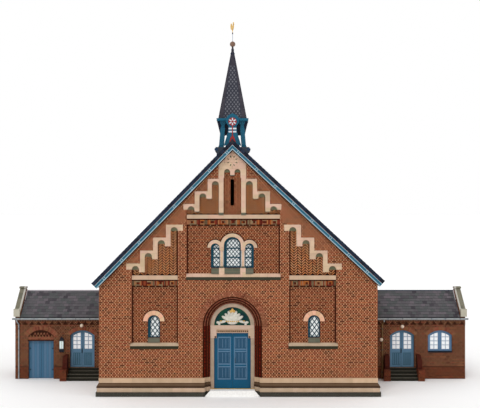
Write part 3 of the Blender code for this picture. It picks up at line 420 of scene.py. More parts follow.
# Name and shades, then the size of the blocks, their shift and the zones of another colour
stones = (
    ("cream_stone", creamShades),
    ("beam_stone", [(202, 168, 144), (196, 170, 144), (208, 166, 144)], (0.9, 0.6), (0.1, 0.2)),
    ("coping_stone", [(112, 112, 96), (130, 126, 110), (104, 104, 92)], (0.6, 0.5), (0, 0),
     [(betweenCopings, (188, 184, 176)), (onCopingHead, (188, 184, 168))]),
    # dark olive stone: painted shade in the arch heads and between the rosette's leaves
    ("lichen_stone", [(112, 110, 84), (100, 104, 82), (120, 104, 86)], (0.44, 0.777)),
    ("sill_stone_grey", [(92, 96, 82), (104, 102, 88)], (0.9, 0.5)),
    # the steep faces of the panel sills, and of the surround below 7.20 m, are painted dark: partly painted shade under
    # the sloped tops, partly dark patina
    ("panel_sill_stone", [(184, 162, 138), (192, 170, 146)], (0.8, 0.5), (0, 0), [(steep, (50, 48, 34))]),
    ("surround_stone", creamShades, (0.5, 0.30), (0.13, 0.05), [(steepAndLow, (58, 58, 46))]),
    ("lintel_stone", [(200, 176, 152), (206, 178, 160), (194, 172, 144)], (0.9, 0.5)),
    ("dentil_stone", [(176, 148, 118), (196, 164, 138)], (0.09, 0.3)),
)

# Name and shades of what is laid one by one, then roughness, scale and depth of the grain, and a dark colour painted on
# the steep edges as shade
tintedKinds = (
    ("herringbone_brick", [
        (160, 102, 66), (182, 120, 78), (194, 122, 72), (172, 124, 84), (192, 134, 94), (170, 102, 68),
    ]),
    ("soldier_brick", [(74, 24, 14), (126, 50, 34), (164, 92, 40), (140, 118, 88), (84, 70, 50), (160, 104, 72)]),
    ("arch_brick", [(86, 44, 30), (138, 78, 58), (118, 75, 52), (150, 92, 70), (104, 56, 38)]),
    ("wing_arch_brick", [(104, 54, 40), (146, 88, 66), (128, 92, 62), (140, 72, 56)]),
    ("hood_block", [(202, 162, 126), (224, 172, 144), (212, 180, 144), (226, 166, 140)], 0.8, 60.0, 0.003),
    ("nave_slate", [(58, 60, 70), (78, 80, 90), (66, 70, 78), (86, 88, 96)], 0.55, 20.0, 0.004, (26, 28, 38)),
    ("verge_dash", [(24, 22, 30), (40, 20, 24), (112, 34, 36)], 0.6),
    ("flashing", [(40, 44, 58), (52, 56, 70), (190, 182, 186)], 0.55),
    ("slate_tile", [(58, 54, 60), (90, 86, 90), (74, 78, 78), (100, 92, 98)], 0.55, 20.0, 0.004, (24, 22, 28)),
    ("verge_slate", [(22, 30, 48), (34, 44, 62), (18, 22, 34)], 0.6, 20.0, 0.004),
)

# Name and two shades of the paint, then its roughness and the stretch of its brush marks
paints = (
    ("door_blue", (0, 76, 110), (0, 88, 124)),
    ("panel_blue", (26, 70, 100), (42, 84, 112)),
    ("frame_blue", (78, 116, 148), (98, 132, 158)),
    ("wing_blue", (80, 120, 150), (98, 134, 160)),
    ("wing_blue_dark", (50, 90, 110), (62, 102, 122)),
    ("bar_blue", (128, 152, 178), (152, 172, 192)),
    ("wing_window_blue", (84, 118, 150), (96, 128, 162)),
    ("window_teal", (0, 52, 66), (0, 64, 82)),
    ("verge_teal", (24, 90, 118), (44, 104, 124), 0.42, (1.0, 1.0, 1.0)),
    ("verge_pale", (152, 182, 192), (180, 198, 204), 0.42, (1.0, 1.0, 1.0)),
    ("turret_teal", (0, 82, 112), (30, 100, 122)),
    ("shoe_blue", (34, 60, 92), (50, 76, 104), 0.5),
    ("turret_dark", (8, 16, 46), (18, 28, 54), 0.6),
    ("ornament_red", (140, 34, 36), (164, 52, 48)),
    ("ornament_white", (206, 216, 226), (226, 232, 236)),
)

# Name and two shades, then roughness, metal share and the scale of the grain
plainKinds = (
    ("lead_grey", (54, 62, 74), (72, 78, 86), 0.55, 0.3),
    ("ridge_dark", (36, 40, 56), (52, 56, 70), 0.6, 0.2),
    ("black_iron", (20, 24, 34), (34, 38, 46), 0.45, 0.5),
    ("gold_leaf", (206, 160, 62), (232, 190, 96), 0.3, 0.9),
    ("ornament_gold", (204, 158, 84), (222, 186, 118), 0.5, 0.3),
    ("mortar_bed", (28, 12, 6), (40, 18, 10), 0.9, 0.0, 20.0),
    # dark wing courses, and painted shade behind the wing corbels, in the blind arch and under the plank door's lintel
    ("wing_dark_course", (44, 26, 16), (66, 34, 20), 0.9),
    ("jamb_line_brick", (84, 44, 22), (108, 62, 36), 0.9),
    # dark strips and courses painted as shade: at recess edges, under beams, hoods, lintel and verges, and in the
    # portal's corners
    ("dark_edge_brick", (48, 18, 8), (66, 28, 12), 0.9),
    ("relief_cream", (190, 186, 174), (218, 214, 202), 0.7),
    ("pale_step_stone", (236, 234, 230), (250, 249, 246), 0.8),
    ("lamp_beige", (212, 192, 170), (230, 214, 194), 0.35),
    ("studio_floor", (250, 250, 250), (252, 252, 252), 0.9),
)


def makeFinishes():
    portal = [(maker, brickwork["portal"]) for maker in (inPortal, inPortalHead)]
    recessShade = [(inRecess, brickwork["recessShade"])]
    brickFinish("field_brick", brickwork["field"], (224, 168, 124), (244, 190, 146), recessShade + portal)
    base = [(belowOffset, brickwork["wingBase"])]
    brickFinish("wing_brick", brickwork["wing"], (146, 108, 82), (166, 126, 98), base)
    kinds = ((stoneFinish, stones), (tintedFinish, tintedKinds), (paintFinish, paints), (plainFinish, plainKinds))
    for maker, table in kinds:
        for entry in table:
            maker(*entry)
    glassFinish("leaded_glass", (236, 244, 240))
    glassFinish("pane_glass", (244, 248, 252))
    stepsFinish("left_steps_stone", -10.86, -8.0)
    stepsFinish("right_steps_stone", 10.26, 12.08)
    for maker in (
        plinthFinish, plankFinish, gutterFinish, lanternFinish, finialFinish, portalStoneFinish, spireFinish,
        roofFinish, tileFloorFinish,
    ):
        maker()


makeFinishes()
print("finishes made")


def startPiece():
    made = bmesh.new()
    made.verts.layers.float.new("tint")
    return made


def startPieces(count):
    return [startPiece() for _ in range(count)]


def giveTint(mesh, verts, tint=None):
    layer = mesh.verts.layers.float["tint"]
    value = dice.random() if tint is None else tint
    for vert in verts:
        vert[layer] = value


def newVerts(grown):
    return [item for item in grown if isinstance(item, bmesh.types.BMVert)]


def newEdges(grown):
    return [item for item in grown if isinstance(item, bmesh.types.BMEdge)]


def addBlock(mesh, low, high, place=None, tint=None):
    # a box between two corners, in a local frame if one is given
    low, high = Vector(low), Vector(high)
    matrix = Matrix.Translation((low + high) / 2) @ Matrix.Diagonal((*(high - low), 1.0))
    made = bmesh.ops.create_cube(mesh, size=1.0, matrix=(place or Matrix()) @ matrix)["verts"]
    giveTint(mesh, made, tint)


def span(side, first, last, centre=0.0):
    # two distances from a centre line, on one side of it, as a low and a high value of x
    return sorted((centre + side * first, centre + side * last))


def addBeside(mesh, side, across, depths, heights, centre=0.0, tint=None):
    # a block on one side of a centre line
    low, high = span(side, *across, centre)
    addBlock(mesh, (low, depths[0], heights[0]), (high, depths[1], heights[1]), tint=tint)


def addShape(mesh, outline, start, end, along="Y", place=None, tint=None):
    # a flat outline made solid: in (x, z) along Y, or in (y, z) along X
    corner = {"Y": lambda u, v: (u, start, v), "X": lambda u, v: (start, u, v)}[along]
    step = (0, end - start, 0) if along == "Y" else (end - start, 0, 0)
    verts = [mesh.verts.new(corner(u, v)) for u, v in outline]
    face = mesh.faces.new(verts)
    verts += newVerts(bmesh.ops.extrude_face_region(mesh, geom=[face], use_keep_orig=True)["geom"])
    bmesh.ops.translate(mesh, vec=step, verts=verts[len(outline):])
    if place:
        bmesh.ops.transform(mesh, matrix=place, verts=verts)
    giveTint(mesh, verts, tint)


def mirrored(side, outline, centre=0.0):
    return [(centre + side * x, z) for x, z in outline]


def arc(x, z, radius, start, end, steps):
    angles = [radians(start + (end - start) * number / steps) for number in range(steps + 1)]
    return [(x + radius * cos(angle), z + radius * sin(angle)) for angle in angles]


def addBand(mesh, centre, inner, outer, depths, start=0, end=180, steps=24):
    # part of a flat ring in the plane of the front
    addShape(mesh, arc(*centre, outer, start, end, steps) + arc(*centre, inner, end, start, steps), *depths)


def addLoopFrame(mesh, outer, opening, depths):
    # the flat area between two closed outlines of equal count, made solid along Y
    loops, first = [], len(mesh.verts)
    for ring in (outer, opening):
        verts = [mesh.verts.new((x, depths[0], z)) for x, z in ring]
        loops += [mesh.edges.new((vert, verts[number - 1])) for number, vert in enumerate(verts)]
    faces = bmesh.ops.bridge_loops(mesh, edges=loops)["faces"]
    moved = newVerts(bmesh.ops.extrude_face_region(mesh, geom=faces, use_keep_orig=True)["geom"])
    bmesh.ops.translate(mesh, vec=(0, depths[1] - depths[0], 0), verts=moved)
    mesh.verts.ensure_lookup_table()
    giveTint(mesh, mesh.verts[first:])


def addRing(mesh, centre, inner, outer, depths, steps=40):
    rings = [arc(*centre, radius, 0, 360, steps)[:-1] for radius in (outer, inner)]
    addLoopFrame(mesh, *rings, depths)


def pourInto(mesh, part):
    # adds a finished part to a large mesh, which keeps the operators quick
    data = bpy.data.meshes.new("part")
    part.to_mesh(data)
    part.free()
    mesh.from_mesh(data)
    bpy.data.meshes.remove(data)


def addVoussoirs(mesh, centre, inner, outer, depths, count, start=0, end=180, joint=0.012, steps=1):
    # wedge-shaped bricks or stones with open joints, evenly round an arch
    share = (end - start) / count
    gap = degrees(joint / outer)
    for number in range(count):
        first, last = start + share * number + gap / 2, start + share * (number + 1) - gap / 2
        addBand(mesh, centre, inner, outer, depths, first, last, steps)


def addRoll(mesh, centre, radius, size, depth, foot):
    # a round bead that runs up one jamb, over the arch and down the other
    x, spring = centre
    matrix = Matrix.Translation((x + radius, depth, spring))
    ring = bmesh.ops.create_circle(mesh, segments=8, radius=size, matrix=matrix)["verts"]
    edges = list({edge for vert in ring for edge in vert.link_edges})
    spun = bmesh.ops.spin(
        mesh, geom=ring + edges, cent=(x, depth, spring), axis=(0, -1, 0), angle=pi, steps=28, use_merge=False
    )["geom_last"]
    for end in (edges, newEdges(spun)):
        moved = newVerts(bmesh.ops.extrude_edge_only(mesh, edges=end)["geom"])
        bmesh.ops.translate(mesh, vec=(0, 0, foot - spring), verts=moved)
    bmesh.ops.holes_fill(mesh, edges=[edge for edge in mesh.edges if edge.is_boundary], sides=8)
    giveTint(mesh, mesh.verts)


def addTurned(mesh, profile, centre=(0, 0, 0), steps=16, place=None):
    # a profile of (radius, height) turned about the vertical through a centre
    points = [mesh.verts.new((centre[0] + reach, centre[1], centre[2] + rise)) for reach, rise in profile]
    edges = [mesh.edges.new(pair) for pair in zip(points, points[1:])]
    bmesh.ops.spin(
        mesh, geom=points + edges, cent=centre, axis=(0, 0, 1), angle=2 * pi, steps=steps, use_merge=True
    )
    bmesh.ops.remove_doubles(mesh, verts=mesh.verts, dist=1e-5)
    if place:
        bmesh.ops.transform(mesh, matrix=place, verts=mesh.verts)
    giveTint(mesh, mesh.verts)


def addBall(mesh, centre, size, scale=(1, 1, 1), turn=0.0, parts=16):
    matrix = Matrix.Translation(centre) @ Matrix.Rotation(turn, 4, "Y") @ Matrix.Diagonal((*scale, 1.0))
    made = bmesh.ops.create_uvsphere(mesh, u_segments=parts, v_segments=parts // 2, radius=size, matrix=matrix)
    giveTint(mesh, made["verts"])


def addLeaves(mesh, centre, reach, depth, size, scale, parts, count, turn=0.0):
    # flat leaves that point outward from a centre
    for number in range(count):
        angle = radians(360 / count * number + turn)
        spot = (centre[0] + reach * cos(angle), depth, centre[1] + reach * sin(angle))
        addBall(mesh, spot, size, scale, -angle, parts)


def addRod(mesh, start, end, radius, sides=8):
    start, end = Vector(start), Vector(end)
    line = end - start
    matrix = Matrix.Translation((start + end) / 2) @ line.to_track_quat("Z", "Y").to_matrix().to_4x4()
    made = bmesh.ops.create_cone(
        mesh, cap_ends=True, segments=sides, radius1=radius, radius2=radius, depth=line.length, matrix=matrix
    )
    giveTint(mesh, made["verts"])


def finishPiece(mesh, name, look, body="building", bevel=0.0, smooth=False):
    bmesh.ops.recalc_face_normals(mesh, faces=mesh.faces)
    data = bpy.data.meshes.new(name)
    mesh.to_mesh(data)
    mesh.free()
    data.materials.append(looks[look])
    if smooth:
        data.shade_smooth()
    piece = bpy.data.objects.new(name, data)
    bpy.context.scene.collection.objects.link(piece)
    if bevel:
        rounding = piece.modifiers.new("edges", "BEVEL")
        rounding.width = bevel
        rounding.segments = 1
        rounding.limit_method = "ANGLE"
    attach(piece, body)


# What the front's pieces are placed by: measured off the frame, or real sizes of this kind of brickwork
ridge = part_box("nave_roof_left")[1].z
wallLeft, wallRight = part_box("front_wall_left")[0].x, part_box("front_wall_right")[1].x
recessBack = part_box("arcade_left")[1].y
panelBack = recessBack - 0.001  # where the pieces in the sunk panels end
nave = {
    "leftPitch": 1.0226, "rightPitch": 0.9275, "length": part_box("nave_rear_wall")[1].y, "springing": 4.20,
    "arcade": {-1: (3.27, 0.775), 1: (3.41, 0.795)}, "archWidth": 0.44, "stepRise": 0.777, "topSpring": 9.935,
    "centre": (-2.74, 2.87), "sideBeamTop": 7.25, "centreBeamTop": 10.90,
}
# The side, near edge and step of each stair of arches, and the far edge of its panel
arcades = [
    (side, edge, step, edge + nave["archWidth"] + 3 * step) for side, (edge, step) in nave["arcade"].items()
]

# Which finish each CAD node gets
nodeLooks = {
    "field_brick": "front_wall_left front_wall_right front_gable nave_wall_left nave_wall_right nave_rear_wall",
    "wing_brick": "left_wing_end_walls left_wing_pier_middle left_wing_pier_inner left_wing_wall_head "
                  "right_wing_end_walls right_wing_wall_inner right_wing_door_head",
    "cream_stone": "arcade_left arcade_right arcade_gable",
    "panel_sill_stone": "panel_sill_left panel_sill_right",
    "surround_stone": "triplet_surround",
    "plinth_stone": "plinth_front_left plinth_front_right plinth_rear",
    "portal_stone": "portal_frame",
    "pale_step_stone": "threshold_step",
    "coping_stone": "left_wing_coping right_wing_coping",
    "left_steps_stone": "left_wing_steps",
    "right_steps_stone": "right_wing_steps",
    "roof_under_slates": "nave_roof_left nave_roof_right left_wing_roof right_wing_roof",
    "lead_grey": "turret_base",
    "spire_slate": "spire",
    "turret_teal": "belfry_frame belfry_gablet",
    "finial": "spire_finial",
    "gold_leaf": "weather_vane",
    "door_blue": "main_door_left main_door_right",
    "plank_blue": "plank_door_left plank_door_right",
    "wing_blue": "left_glazed_door_left left_glazed_door_right right_glazed_door_left right_glazed_door_right",
    "leaded_glass": "small_window_left small_window_right triplet_window side_glazing_left "
                    "side_glazing_right rear_glazing",
    "pane_glass": "right_wing_window",
    "gutter_zinc": "left_wing_gutter right_wing_gutter",
    "lantern": "wall_lantern",
    "floor_tile": "nave_floor left_wing_floor right_wing_floor",
}


def paintFrame():
    for look, names in nodeLooks.items():
        for name in names.split():
            slots = nodes[name].data.materials
            if len(slots):
                slots[0] = looks[look]
            else:
                slots.append(looks[look])


paintFrame()


# Beam, frieze and dark edges of a sunk panel; distances in metres
frieze = {
    "sideBeam": 0.26, "centreBeam": 0.24, "shadow": 0.08, "band": 0.27, "foot": 0.09, "box": 0.27,
    "period": 0.64, "soldier": 0.076, "joint": 0.004, "bracket": 0.393, "edge": 0.075, "beamFront": -0.012,
    "brickFront": 0.045,
}


def addFrieze(mesh, dark, left, right, top, back):
    # groups of upright bricks between square boxes, over a course painted dark as shadow, with small brackets
    high, low = top - frieze["shadow"], top - frieze["shadow"] - frieze["band"]
    front, joint = frieze["brickFront"], frieze["joint"]
    addBlock(dark, (left, front + 0.05, low - frieze["foot"]), (right, back, top))
    count = round((right - left) / frieze["period"])
    period = (right - left) / count
    for number in range(count):
        start = left + period * number
        boxLeft = start + (period - frieze["box"]) / 2
        boxRight = boxLeft + frieze["box"]
        for shelf in (low, high - 0.065):
            addBlock(mesh, (boxLeft + joint, front, shelf), (boxRight - joint, back, shelf + 0.065))
        for side in (boxLeft + joint, boxRight - joint - 0.06):
            addBlock(mesh, (side, front, low + 0.07), (side + 0.06, back, high - 0.07))
        # the sunk middle of each box takes the darkest tint: painted shade in the hollow
        addBlock(mesh, (boxLeft + 0.09, front + 0.02, low + 0.09), (boxRight - 0.09, back, high - 0.09), tint=0.05)
        for first, last in ((start, boxLeft), (boxRight, start + period)):
            bricks = max(round((last - first) / frieze["soldier"]), 1)
            width = (last - first) / bricks
            for brick in range(bricks):
                edge = first + width * brick
                addBlock(mesh, (edge + joint, front, low), (edge + width - joint, back, high))
    for number in range(round((right - left) / frieze["bracket"])):
        middle = left + frieze["bracket"] * (number + 0.6)
        addBlock(mesh, (middle - 0.03, front, low - frieze["foot"]), (middle + 0.03, back, low - 0.008), tint=0.7)


def buildFriezes():
    bricks, dark, beams = startPieces(3)
    spans = [(*span(side, edge, far), nave["sideBeamTop"], frieze["sideBeam"]) for side, edge, _, far in arcades]
    spans.append((*nave["centre"], nave["centreBeamTop"], frieze["centreBeam"]))
    for left, right, top, depth in spans:
        addFrieze(bricks, dark, left + 0.002, right - 0.002, top - depth, panelBack)
        addBlock(beams, (left + 0.012, frieze["beamFront"], top - depth), (right - 0.012, panelBack, top))
    finishPiece(bricks, "frieze_bricks", "soldier_brick", bevel=0.004)
    finishPiece(dark, "frieze_shadow_courses", "dark_edge_brick")
    finishPiece(beams, "string_courses", "beam_stone", bevel=0.012)


def buildPanelEdges():
    # narrow dark strips that line the sides of the three sunk panels: painted shade at the panels' edges
    mesh = startPiece()
    width, depths, beamTop = frieze["edge"], (0.10, panelBack), nave["sideBeamTop"]
    for side, edge, _, far in arcades:
        for x, inward, top in ((edge, 1, nave["topSpring"]), (far, -1, nave["topSpring"] - 3 * nave["stepRise"])):
            for heights in ((3.20, beamTop - frieze["sideBeam"]), (beamTop, top)):
                addBeside(mesh, side, (x, x + inward * width), depths, heights)
    for x, inward in zip(nave["centre"], (1, -1)):
        addBeside(mesh, 1, (x, x + inward * width), depths, (7.36, 10.66))
    finishPiece(mesh, "panel_edge_shade", "dark_edge_brick")


herring = {"column": 0.2215, "brick": 0.1117, "joint": 0.050, "proud": 0.016, "bed": 0.004, "least": 0.01}


def fillHerringbone(mesh, bed, left, right, bottom, heightAt):
    # upright zigzag: bricks laid at 45 degrees that change direction from column to column
    rise = herring["brick"] * sqrt(2)
    count = max(round((right - left) / herring["column"]), 1)
    column = (right - left) / count
    half, joint = column / 2 - herring["joint"] / 3, herring["joint"] / sqrt(2)
    for number in range(count):
        start = left + column * number
        top = heightAt(start + column / 2)
        addBlock(bed, (start, recessBack - herring["bed"], bottom), (start + column, panelBack, top))
    for number in range(count):
        part = startPiece()
        middle = left + column * (number + 0.5)
        lean = 1 if number % 2 else -1
        for row in range(ceil((heightAt(middle) - bottom) / rise)):
            low, high = bottom + rise * row + joint, bottom + rise * (row + 1) - joint
            outline = [(-half, low - lean * half), (half, low + lean * half)]
            outline += [(half, high + lean * half), (-half, high - lean * half)]
            outline = [(middle + x, max(height, bottom)) for x, height in outline]
            sides = (outline[2][1] - outline[1][1], outline[3][1] - outline[0][1])
            if min(sides) >= herring["least"]:
                addShape(part, outline, recessBack - herring["proud"], panelBack)
        pourInto(mesh, part)


def arcadeHead(edge, step):
    # the height of a stair of arches over one x: one step lower with each opening
    return lambda x: nave["topSpring"] + 0.15 - nave["stepRise"] * min(max(int((abs(x) - edge) / step), 0), 3)


def gableHead(x):
    return 11.35 if abs(x) > 2.2 else (12.1 if abs(x) > 1.48 else 12.85)


def buildHerringbone():
    mesh, bed = startPieces(2)
    for side, edge, step, far in arcades:
        left, right = span(side, edge, far)
        width = frieze["edge"]
        fillHerringbone(mesh, bed, left + width, right - width, nave["sideBeamTop"], arcadeHead(edge, step))
    for side, limit in zip((-1, 1), nave["centre"]):
        left, right = sorted((side * 0.81, limit))
        fillHerringbone(mesh, bed, left + 0.01, right - 0.01, nave["centreBeamTop"], gableHead)
    finishPiece(mesh, "herringbone_bricks", "herringbone_brick")
    finishPiece(bed, "herringbone_mortar", "mortar_bed")


def buildArchHeads():
    # half-round dark stones that close the heads of the arcade openings: painted shade under each arch
    mesh = startPiece()
    heads = []
    for side, edge, step, _ in arcades:
        for number in range(4):
            x = side * (edge + nave["archWidth"] / 2 + step * number)
            heads.append((x, nave["topSpring"] - nave["stepRise"] * number, nave["archWidth"] / 2))
    for reach, spring, radius in ((2.48, 11.20, 0.21), (1.77, 11.97, 0.21), (1.02, 12.71, 0.21), (0.31, 13.46, 0.18)):
        heads += [(-reach, spring, radius), (reach, spring, radius)]
    for x, spring, radius in heads:
        addShape(mesh, arc(x, spring - 0.02, radius - 0.001, 0, 180, 16), recessBack - 0.045, panelBack)
    finishPiece(mesh, "arcade_arch_heads", "lichen_stone", bevel=0.004)


print("front panels")
buildFriezes()
buildPanelEdges()
buildHerringbone()
buildArchHeads()


def addLeading(mesh, centre, half, foot, spring, diamond, depth, bar):
    # a diamond lattice of lead bars cut to a round-headed pane
    wide, tall = diamond
    slope = tall / wide
    reach = spring + half - foot
    lattice = startPiece()
    lines = ceil((2 * half * slope + reach) / tall) + 1
    size = (4 * (half + reach), depth[1] - depth[0], bar)
    for lean in (-1, 1):
        for number in range(-lines, lines + 1):
            # each line crosses the middle of the pane at its own height
            height = foot + tall * (number + 0.5)
            matrix = Matrix.Translation((centre, 0, height)) @ Matrix.Rotation(-lean * atan(slope), 4, "Y")
            cube = matrix @ Matrix.Translation((0, (depth[0] + depth[1]) / 2, 0)) @ Matrix.Diagonal((*size, 1.0))
            bmesh.ops.create_cube(lattice, size=1.0, matrix=cube)
    steps = 10
    edges = [(centre - half, foot, (-1, 0, 0)), (centre + half, foot, (1, 0, 0)), (centre, foot, (0, 0, -1))]
    for number in range(steps):
        angle = radians(180 * (number + 0.5) / steps)
        edges.append((centre + half * cos(angle), spring + half * sin(angle), (cos(angle), 0, sin(angle))))
    for x, z, outward in edges:
        everything = lattice.verts[:] + lattice.edges[:] + lattice.faces[:]
        cut = bmesh.ops.bisect_plane(
            lattice, geom=everything, plane_co=(x, 0, z), plane_no=outward, clear_outer=True
        )["geom_cut"]
        bmesh.ops.edgenet_fill(lattice, edges=newEdges(cut))
    pourInto(mesh, lattice)


def addArchFrame(mesh, centre, half, foot, spring, sides, depths, steps=20):
    # a frame that follows a round-headed opening; sides are its widths at the left, right, foot and head
    left, right, sill, head = sides
    inner = half - (left + right) / 2
    shifted = centre + (left - right) / 2
    rise = (half - head) / inner
    outer = [(centre - half, foot), (centre + half, foot), *arc(centre, spring, half, 0, 180, steps)]
    opening = [(shifted - inner, foot + sill), (shifted + inner, foot + sill)]
    opening += [(x, spring + (z - spring) * rise) for x, z in arc(shifted, spring, inner, 0, 180, steps)]
    addLoopFrame(mesh, outer, opening, depths)


# Each window with its x and the widths of its frame at the left and the right
smallWindow = {
    "windows": ((-4.72, 0.17, 0.05), (4.91, 0.14, 0.07)), "half": 0.37, "foot": 3.50, "spring": 4.48,
    "hoodReach": 0.645, "hoodFront": 0.075, "diamond": (0.265, 0.355), "lead": 0.044,
}
# Each light with its x, half width, springing and frame widths, and each arc of the painted shadow line over the hood
triplet = {
    "lights": (
        (0, 0.51, 9.05, (0.17, 0.07, 0.09, 0.13)), (-1.03, 0.265, 8.915, (0.16, 0.02, 0.09, 0.10)),
        (1.03, 0.265, 8.915, (0.02, 0.15, 0.09, 0.10)),
    ),
    "arcs": ((0, 9.05, 0.72, 22, 158), (-1.03, 8.915, 0.47, 52, 180), (1.03, 8.915, 0.47, 0, 128)),
    "foot": 7.70, "bars": (8.88, 8.33), "bar": 0.034, "diamond": (0.215, 0.26),
}


def buildSmallWindows():
    frames, leads, hoods, sills, lines = startPieces(5)
    half, foot, spring, reach = [smallWindow[word] for word in ("half", "foot", "spring", "hoodReach")]
    for x, left, right in smallWindow["windows"]:
        sides = (left, right, 0.06, 0.09)
        addArchFrame(frames, x, half - 0.001, foot + 0.001, spring, sides, (0.20, 0.299))
        middle, inner = x + (left - right) / 2, half - (left + right) / 2
        pane = (middle, inner, foot + 0.06, spring)
        addLeading(leads, *pane, smallWindow["diamond"], (0.262, 0.290), smallWindow["lead"])
        centre = (x, spring + 0.01)
        addVoussoirs(hoods, centre, half + 0.001, reach, (smallWindow["hoodFront"], panelBack), 7, steps=4)
        # a dark band round the hood: painted shadow of the hood
        addBand(lines, centre, reach, reach + 0.045, (0.105, panelBack))
        addBlock(sills, (x - half + 0.01, 0.06, 3.215), (x + half - 0.01, panelBack, 3.49))
    finishPiece(frames, "small_window_frames", "window_teal", bevel=0.006)
    finishPiece(leads, "small_window_leading", "window_teal")
    finishPiece(hoods, "small_window_hoods", "hood_block", bevel=0.006)
    finishPiece(lines, "small_window_hood_shadows", "dark_edge_brick")
    finishPiece(sills, "small_window_sills", "sill_stone_grey", bevel=0.01)


def buildTriplet():
    frames, leads, bars, sills, lines = startPieces(5)
    foot, thick = triplet["foot"], triplet["bar"]
    for x, half, spring, sides in triplet["lights"]:
        addArchFrame(frames, x, half - 0.001, foot + 0.001, spring, sides, (0.17, 0.269))
        inner = half - (sides[0] + sides[1]) / 2
        middle = x + (sides[0] - sides[1]) / 2
        addLeading(leads, middle, inner, foot + 0.06, spring, triplet["diamond"], (0.235, 0.262), thick)
        left, right = middle - inner - 0.01, middle + inner + 0.01
        for height in triplet["bars"]:
            addBlock(bars, (left, 0.20, height - thick), (right, 0.262, height + thick))
        addBlock(sills, (x - half + 0.03, 0.045, 7.34), (x + half - 0.03, panelBack, 7.68))
    # dark bands round the hoods: painted shadow
    for x, spring, radius, start, end in triplet["arcs"]:
        addBand(lines, (x, spring), radius, radius + 0.05, (0.09, panelBack), start, end)
    finishPiece(frames, "triplet_frames", "window_teal", bevel=0.006)
    finishPiece(leads, "triplet_leading", "window_teal")
    finishPiece(bars, "triplet_saddle_bars", "window_teal")
    finishPiece(sills, "triplet_sills", "sill_stone_grey", bevel=0.01)
    finishPiece(lines, "triplet_hood_shadows", "dark_edge_brick")


def buildTripletCapitals():
    # small capitals and bases on the two shafts, and grey blocks under the legs of the top arcade
    cream, grey = startPieces(2)
    for x in (-0.64, 0.64):
        for low, high, reach in ((8.74, 8.80, 0.085), (8.80, 8.86, 0.10), (7.70, 7.76, 0.11), (7.76, 7.80, 0.095)):
            addBlock(cream if low > 8 else grey, (x - reach, 0.02, low), (x + reach, 0.12, high))
        leg = x / 0.64 * 0.67
        addBlock(grey, (leg - 0.15, -0.03, 10.86), (leg + 0.15, 0.13, 11.02))
    for side in (-1, 1):
        for reach, height in ((2.125, 11.08), (1.395, 11.85)):
            leg = side * reach
            addBlock(grey, (leg - 0.15, -0.022, height - 0.03), (leg + 0.15, 0.13, height + 0.01))
    addBlock(grey, (-0.135, -0.022, 13.22), (0.135, 0.13, 13.275))
    finishPiece(cream, "shaft_capitals", "cream_stone", bevel=0.008)
    finishPiece(grey, "shaft_bases", "sill_stone_grey", bevel=0.008)


def buildApexRosette():
    # round relief in the top stone: a ring with leaves round a boss
    mesh, centre = startPiece(), (0, 14.13)
    addRing(mesh, centre, 0.39, 0.45, (-0.045, -0.012))
    addLeaves(mesh, centre, 0.235, -0.018, 0.13, (1.0, 0.18, 0.42), 12, 8)
    addBall(mesh, (0, -0.02, centre[1]), 0.085, (1, 0.4, 1))
    finishPiece(mesh, "apex_rosette", "cream_stone")
    # dark leaves behind and between the cream ones: painted shade in the relief's hollows
    dark = startPiece()
    addLeaves(dark, centre, 0.27, -0.012, 0.075, (1.0, 0.12, 0.5), 10, 8, 22.5)
    finishPiece(dark, "apex_rosette_shade", "lichen_stone")


print("front windows")
buildSmallWindows()
buildTriplet()
buildTripletCapitals()
buildApexRosette()


# Each order of the portal with its radius and the depths of its face and back
portal = {
    "orders": ((1.77, 0.0, 0.15), (1.62, 0.15, 0.30), (1.48, 0.30, 0.42), (1.34, 0.42, 0.50)),
    "ring": (1.785, 2.07), "ringCount": 66, "hoodCount": 52, "orderCount": 72, "bead": 0.04, "baseTop": 1.10,
    "lines": ((1.772, -0.004), (1.475, 0.295)), "lineWidth": 0.016,
    "bases": ((0.0, 0.265, 0.15), (0.265, 0.53, 0.10), (0.53, 0.66, 0.12), (0.66, 0.80, 0.07), (0.80, 1.10, 0.02)),
}


def buildPortalRings():
    centre, foot = (0, nave["springing"]), portal["baseTop"]
    ring, lines, beads = startPieces(3)
    inner, outer = portal["ring"]
    addVoussoirs(ring, centre, inner, outer, (-0.006, 0.02), portal["ringCount"], -4, 184, 0.034)
    hood = (outer + 0.004, outer + 0.055)
    addVoussoirs(lines, centre, *hood, (-0.012, 0.02), portal["hoodCount"], -4, 184, 0.03)
    for (radius, _, back), (following, *_) in zip(portal["orders"], portal["orders"][1:]):
        # the face of each order is a ring of dark bricks; a bead runs in its corner, painted dark as the shade there
        reach = (following + 0.012, radius - 0.012)
        addVoussoirs(ring, centre, *reach, (back - 0.006, back + 0.01), portal["orderCount"])
        addRoll(beads, centre, radius - 0.035, portal["bead"], back - 0.028, foot)
    finishPiece(ring, "portal_arch_bricks", "arch_brick")
    finishPiece(lines, "portal_hood_bricks", "arch_brick")
    finishPiece(beads, "portal_beads", "dark_edge_brick", smooth=True)
    edges = startPiece()
    for radius, depth in portal["lines"]:
        across, depths = (radius, radius + portal["lineWidth"]), (depth, depth + 0.02)
        addBand(edges, centre, *across, depths, steps=40)
        for side in (-1, 1):
            addBeside(edges, side, across, depths, (foot, centre[1]))
    finishPiece(edges, "portal_edge_lines", "jamb_line_brick")


def buildPortalBases():
    # the plinth's courses return along the stepped jambs, and stay clear of the step between them
    mesh = startPiece()
    for side in (-1, 1):
        for low, high, out in portal["bases"]:
            for radius, front, back in portal["orders"][1:]:
                inner = radius - out * 0.35
                if low < 0.35:
                    inner = max(inner, 1.345)
                depths = (front - out * 0.7, back + 0.02)
                addBeside(mesh, side, (inner, radius + 0.15), depths, (low, high - 0.001))
    finishPiece(mesh, "portal_jamb_bases", "plinth_stone", bevel=0.008)


